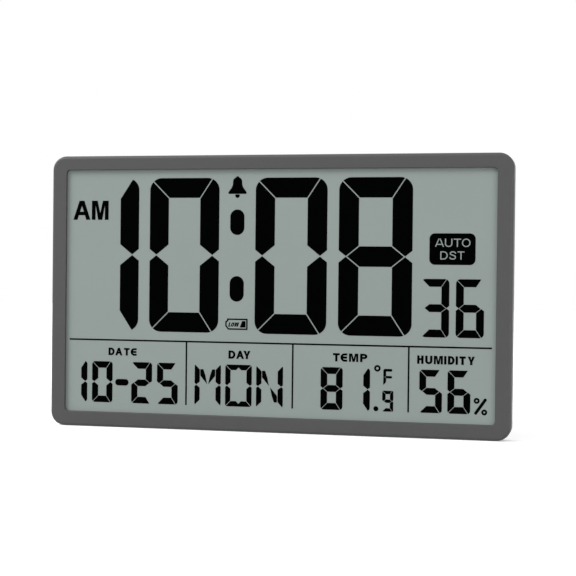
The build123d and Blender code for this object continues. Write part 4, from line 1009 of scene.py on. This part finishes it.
class CLOCK_OT_labels(bpy.types.Operator):
    """Draw the labels of the bottom row and the morning sign"""

    bl_idname = "clock.labels"
    bl_label = "Labels"

    def execute(self, context):
        signs = context.scene.clock_signs
        dark = bpy.data.materials["display_dark"]

        def labels(shape):
            for spans, left, right, bottom, share in LABELS:
                top = bottom + share * signs.label_height / MM
                filled(shape, word(spans, left, right, bottom, top, signs.label_stem))

        def morning(shape):
            left, right, bottom, top = -164.95, -135.35, 163.6, 178.7
            filled(shape, word(MORNING, left, right, bottom, top, signs.heading_stem))

        solid_piece("row_labels", labels, dark)
        solid_piece("morning_sign", morning, dark)
        return {"FINISHED"}


class CLOCK_OT_status_signs(bpy.types.Operator):
    """Draw the bell, the low battery sign and the badge"""

    bl_idname = "clock.status_signs"
    bl_label = "Status signs"

    def execute(self, context):
        signs = context.scene.clock_signs
        dark = bpy.data.materials["display_dark"]

        def bell(shape):
            middle, bell_top, clapper_top = -29.9, 197.5, 183.45
            body = mirrored(middle, bell_top, BELL_SIDE, 6)
            filled(shape, [body, mirrored(middle, clapper_top, CLAPPER_SIDE, 4)])

        def battery(shape):
            low, high, left, right = 78.65, 87.35, -37.3, -20.75
            half, lean = 0.55, 0.25
            nose = left - 1.35 + half
            corners = [
                (left + half, high - half),
                (right - half, high - half),
                (right - half, low + half),
                (left + 0.67 + half, low + half),
                (nose, low + 3.0),
                (nose, high - 2.25 - half / 2),
                (left + half, high - 1.5 - half / 2),
            ]
            for start, end in zip(corners, corners[1:] + corners[:1]):
                plate(shape, bar(start, end, 2 * half, 5))
            charge = [(-27.05, 80.5), (-22.4, 80.5), (-22.4, 85.5), (-25.1, 85.5)]
            plate(shape, charge)
            filled(shape, word(LOW, -36.3, -28.3, 81.05, 84.35, signs.low_stem, lean))

        def badge(shape):
            corner = signs.badge_corner / MM
            outlines = [rounded_box(119.6, 154.1, 130.4, 154.0, corner)]
            outlines += word(AUTO, 123.7, 150.3, 143.9, 150.1, signs.badge_stem)
            outlines += word(DST, 127.8, 145.9, 134.4, 140.6, signs.badge_stem)
            filled(shape, outlines)

        solid_piece("alarm_bell_sign", bell, dark)
        solid_piece("low_battery_sign", battery, dark)
        solid_piece("summer_time_badge", badge, dark)
        return {"FINISHED"}


class CLOCK_OT_unit_signs(bpy.types.Operator):
    """Draw the degree and percent signs"""

    bl_idname = "clock.unit_signs"
    bl_label = "Unit signs"

    def execute(self, context):
        stroke = context.scene.clock_signs.ring_stroke / MM
        dark = bpy.data.materials["display_dark"]

        def degree(shape):
            radius = 2.5
            ring(shape, 81.15, 51.7, radius, radius - stroke)
            left, right, top, middle, bottom = 85.75, 92.5, 51.45, 45.2, 39.4
            stem, beam, gap = 2.15, 2.0, 0.09
            arm = [(left, middle + gap), (left, top - 1.3), (left + 0.4, top - 0.4)]
            arm += [(left + 1.3, top), (right - 0.5, top), (right, top - 0.5)]
            arm += [(right, top - beam + 0.5), (right - 0.5, top - beam)]
            arm += [(left + stem, top - beam), (left + stem, middle + 0.9)]
            arm += [(left + stem - 0.75, middle + gap)]
            tongue = [(left + stem - 0.55, middle), (left + stem + 0.2, middle - 0.9)]
            tongue += [(right - 0.7, middle - 0.9), (right - 0.1, middle - 0.5), (right, middle)]
            tongue += [(right - 0.1, middle + 0.5), (right - 0.7, middle + 0.9)]
            tongue += [(left + stem + 0.2, middle + 0.9)]
            leg = [(left, bottom), (left + 0.3, bottom), (left + stem, bottom + 2.0)]
            leg += [(left + stem, middle - 0.9), (left + stem - 0.75, middle - gap)]
            leg += [(left, middle - gap)]
            filled(shape, [arm, tongue, leg])

        def percent(shape):
            radius, slash_width = 2.2, 2.25
            for x, z in ((156.25, 29.4), (161.95, 20.9)):
                ring(shape, x, z, radius, radius - stroke)
            plate(shape, bar((155.6, 20.15), (162.6, 30.15), slash_width))

        solid_piece("degree_sign", degree, dark)
        solid_piece("percent_sign", percent, dark)
        return {"FINISHED"}


class CLOCK_OT_screws(bpy.types.Operator):
    """Put threaded screws with a cross recess in place of the plain ones"""

    bl_idname = "clock.screws"
    bl_label = "Screws"

    def execute(self, context):
        settings = context.scene.clock_screws
        finish = bpy.data.materials["zinc_screw"]
        tree = screw_tree()
        for name, node, head_behind in (
            ("case_screws_threaded", "case_screws", True),
            ("hanger_screws_threaded", "hanger_screws", True),
            ("clamp_screws_threaded", "clamp_screws", True),
            ("board_screws_threaded", "pcb_screws", False),
        ):
            make_screws(name, node, head_behind, tree, settings, finish)
        return {"FINISHED"}


class CLOCK_OT_stage(bpy.types.Operator):
    """Set up the floor, the lamps, the room light and the camera"""

    bl_idname = "clock.stage"
    bl_label = "Studio"

    def execute(self, context):
        settings = context.scene.clock_studio
        self.floor()
        self.lamps(settings)
        self.room(context.scene, settings)
        self.camera(context.scene, settings)
        context.scene.view_settings.view_transform = "Standard"
        return {"FINISHED"}

    def seen(self, tree):
        """One for what the camera sees, also mirrored or through glass, and nought for light."""
        rays = tree.nodes.new("ShaderNodeLightPath").outputs
        chosen = rays["Is Camera Ray"]
        for kind in ("Is Glossy Ray", "Is Transmission Ray"):
            chosen = calc(tree, "MAXIMUM", chosen, rays[kind])
        return chosen

    def floor(self):
        """Pale floor, white to the camera except in shadow, that throws little light back up."""
        reach, sunk = 4.0, 0.0002
        pale, thrown_back, glow = 0.93, 0.35, 0.34
        mesh = bpy.data.meshes.new("studio_floor")
        corners = [(-reach, -reach, 0), (reach, -reach, 0), (reach, reach, 0), (-reach, reach, 0)]
        mesh.from_pydata(corners, [], [(0, 1, 2, 3)])
        floor = bpy.data.objects.new("studio_floor", mesh)
        floor.location.z = -sunk
        bpy.context.scene.collection.objects.link(floor)
        finish = bpy.data.materials.new("pale_floor")
        finish.use_nodes = True
        tree = finish.node_tree
        inputs = tree.nodes["Principled BSDF"].inputs
        bounce = spread(tree, self.seen(tree), thrown_back, pale, 0.0, 1.0)
        put(tree, bounce, inputs["Base Color"])
        inputs["Roughness"].default_value = 0.9
        inputs["Specular IOR Level"].default_value = 0.1
        inputs["Emission Color"].default_value = (1.0, 1.0, 1.0, 1.0)
        put(tree, calc(tree, "MULTIPLY", self.seen(tree), glow), inputs["Emission Strength"])
        mesh.materials.append(finish)

    def lamps(self, settings):
        """Large soft lamp in front at the left, a weak one at the right, and one behind."""
        lamps = [
            ("key_lamp", settings.key_power, 3.0, (-4.0, -3.1, 5.0)),
            ("fill_lamp", settings.fill_power, 2.4, (3.4, -2.8, 0.3)),
            ("back_lamp", settings.back_power, 2.4, (-3.6, 3.2, 2.6)),
        ]
        middle = Vector((0.0, 0.0, 0.1))
        for name, power, size, place in lamps:
            lamp = bpy.data.lights.new(name, "AREA")
            lamp.shape = "SQUARE"
            lamp.size = size
            lamp.energy = power
            holder = bpy.data.objects.new(name, lamp)
            holder.location = place
            aim = middle - holder.location
            holder.rotation_euler = aim.to_track_quat("-Z", "Y").to_euler()
            bpy.context.scene.collection.objects.link(holder)

    def room(self, scene, settings):
        """Even room light, and a white background to the camera and in reflections."""
        world = bpy.data.worlds.new("studio_room")
        world.use_nodes = True
        tree = world.node_tree
        tree.nodes.clear()
        white = (1.0, 1.0, 1.0, 1.0)
        light = [("Color", white), ("Strength", settings.sky)]
        light = add_node(tree, "ShaderNodeBackground", light).outputs[0]
        backdrop = add_node(tree, "ShaderNodeBackground", [("Color", white)]).outputs[0]
        sockets = [(0, self.seen(tree)), (1, light), (2, backdrop)]
        mix = add_node(tree, "ShaderNodeMixShader", sockets).outputs[0]
        add_node(tree, "ShaderNodeOutputWorld", [("Surface", mix)])
        scene.world = world

    def camera(self, scene, settings):
        """Camera at the photograph's viewing angle."""
        a, e, r = settings.azimuth, settings.elevation, settings.roll
        back = Vector((math.sin(a) * math.cos(e), -math.cos(a) * math.cos(e), math.sin(e)))
        forward = -back
        right = forward.cross(Vector((0.0, 0.0, 1.0))).normalized()
        down = forward.cross(right)
        turned_right = right * math.cos(r) + down * math.sin(r)
        turned_down = down * math.cos(r) - right * math.sin(r)
        data = bpy.data.cameras.new("photo_camera")
        data.lens = settings.lens
        data.sensor_width = 36.0
        data.clip_start = 0.01
        data.clip_end = 20.0
        camera = bpy.data.objects.new("photo_camera", data)
        axes = Matrix((turned_right, -turned_down, back)).transposed().to_4x4()
        place = Vector(settings.target) + back * settings.distance
        camera.matrix_world = Matrix.Translation(place) @ axes
        scene.collection.objects.link(camera)
        scene.camera = camera


class CLOCK_PT_panel(bpy.types.Panel):
    """Settings of the clock's looks, and a button for each step"""

    bl_idname = "CLOCK_PT_panel"
    bl_label = "Display Clock"
    bl_space_type = "VIEW_3D"
    bl_region_type = "UI"
    bl_category = "Display Clock"

    def draw(self, context):
        for group, (_, title) in GROUPS.items():
            box = self.layout.box()
            box.label(text=title)
            holder = getattr(context.scene, group)
            for name in holder.bl_rna.properties.keys():
                if name not in {"rna_type", "name"}:
                    box.prop(holder, name)
        for operator in OPERATORS:
            self.layout.operator(operator.bl_idname)


GROUPS = {
    "clock_finishes": (ClockFinishes, "Finishes"),
    "clock_signs": (DisplaySigns, "Display signs"),
    "clock_screws": (ScrewSizes, "Screws"),
    "clock_studio": (StudioSettings, "Studio"),
}
OPERATORS = [
    CLOCK_OT_finishes,
    CLOCK_OT_labels,
    CLOCK_OT_status_signs,
    CLOCK_OT_unit_signs,
    CLOCK_OT_screws,
    CLOCK_OT_stage,
]


def register():
    for name, (group, _) in GROUPS.items():
        bpy.utils.register_class(group)
        setattr(bpy.types.Scene, name, PointerProperty(type=group))
    for cls in (*OPERATORS, CLOCK_PT_panel):
        bpy.utils.register_class(cls)


def unregister():
    for cls in reversed((*OPERATORS, CLOCK_PT_panel)):
        bpy.utils.unregister_class(cls)
    for name, (group, _) in GROUPS.items():
        delattr(bpy.types.Scene, name)
        bpy.utils.unregister_class(group)


def main():
    register()
    bpy.ops.clock.finishes()
    bpy.ops.clock.labels()
    bpy.ops.clock.status_signs()
    bpy.ops.clock.unit_signs()
    bpy.ops.clock.screws()
    bpy.ops.clock.stage()


if __name__ == "__main__":
    main()
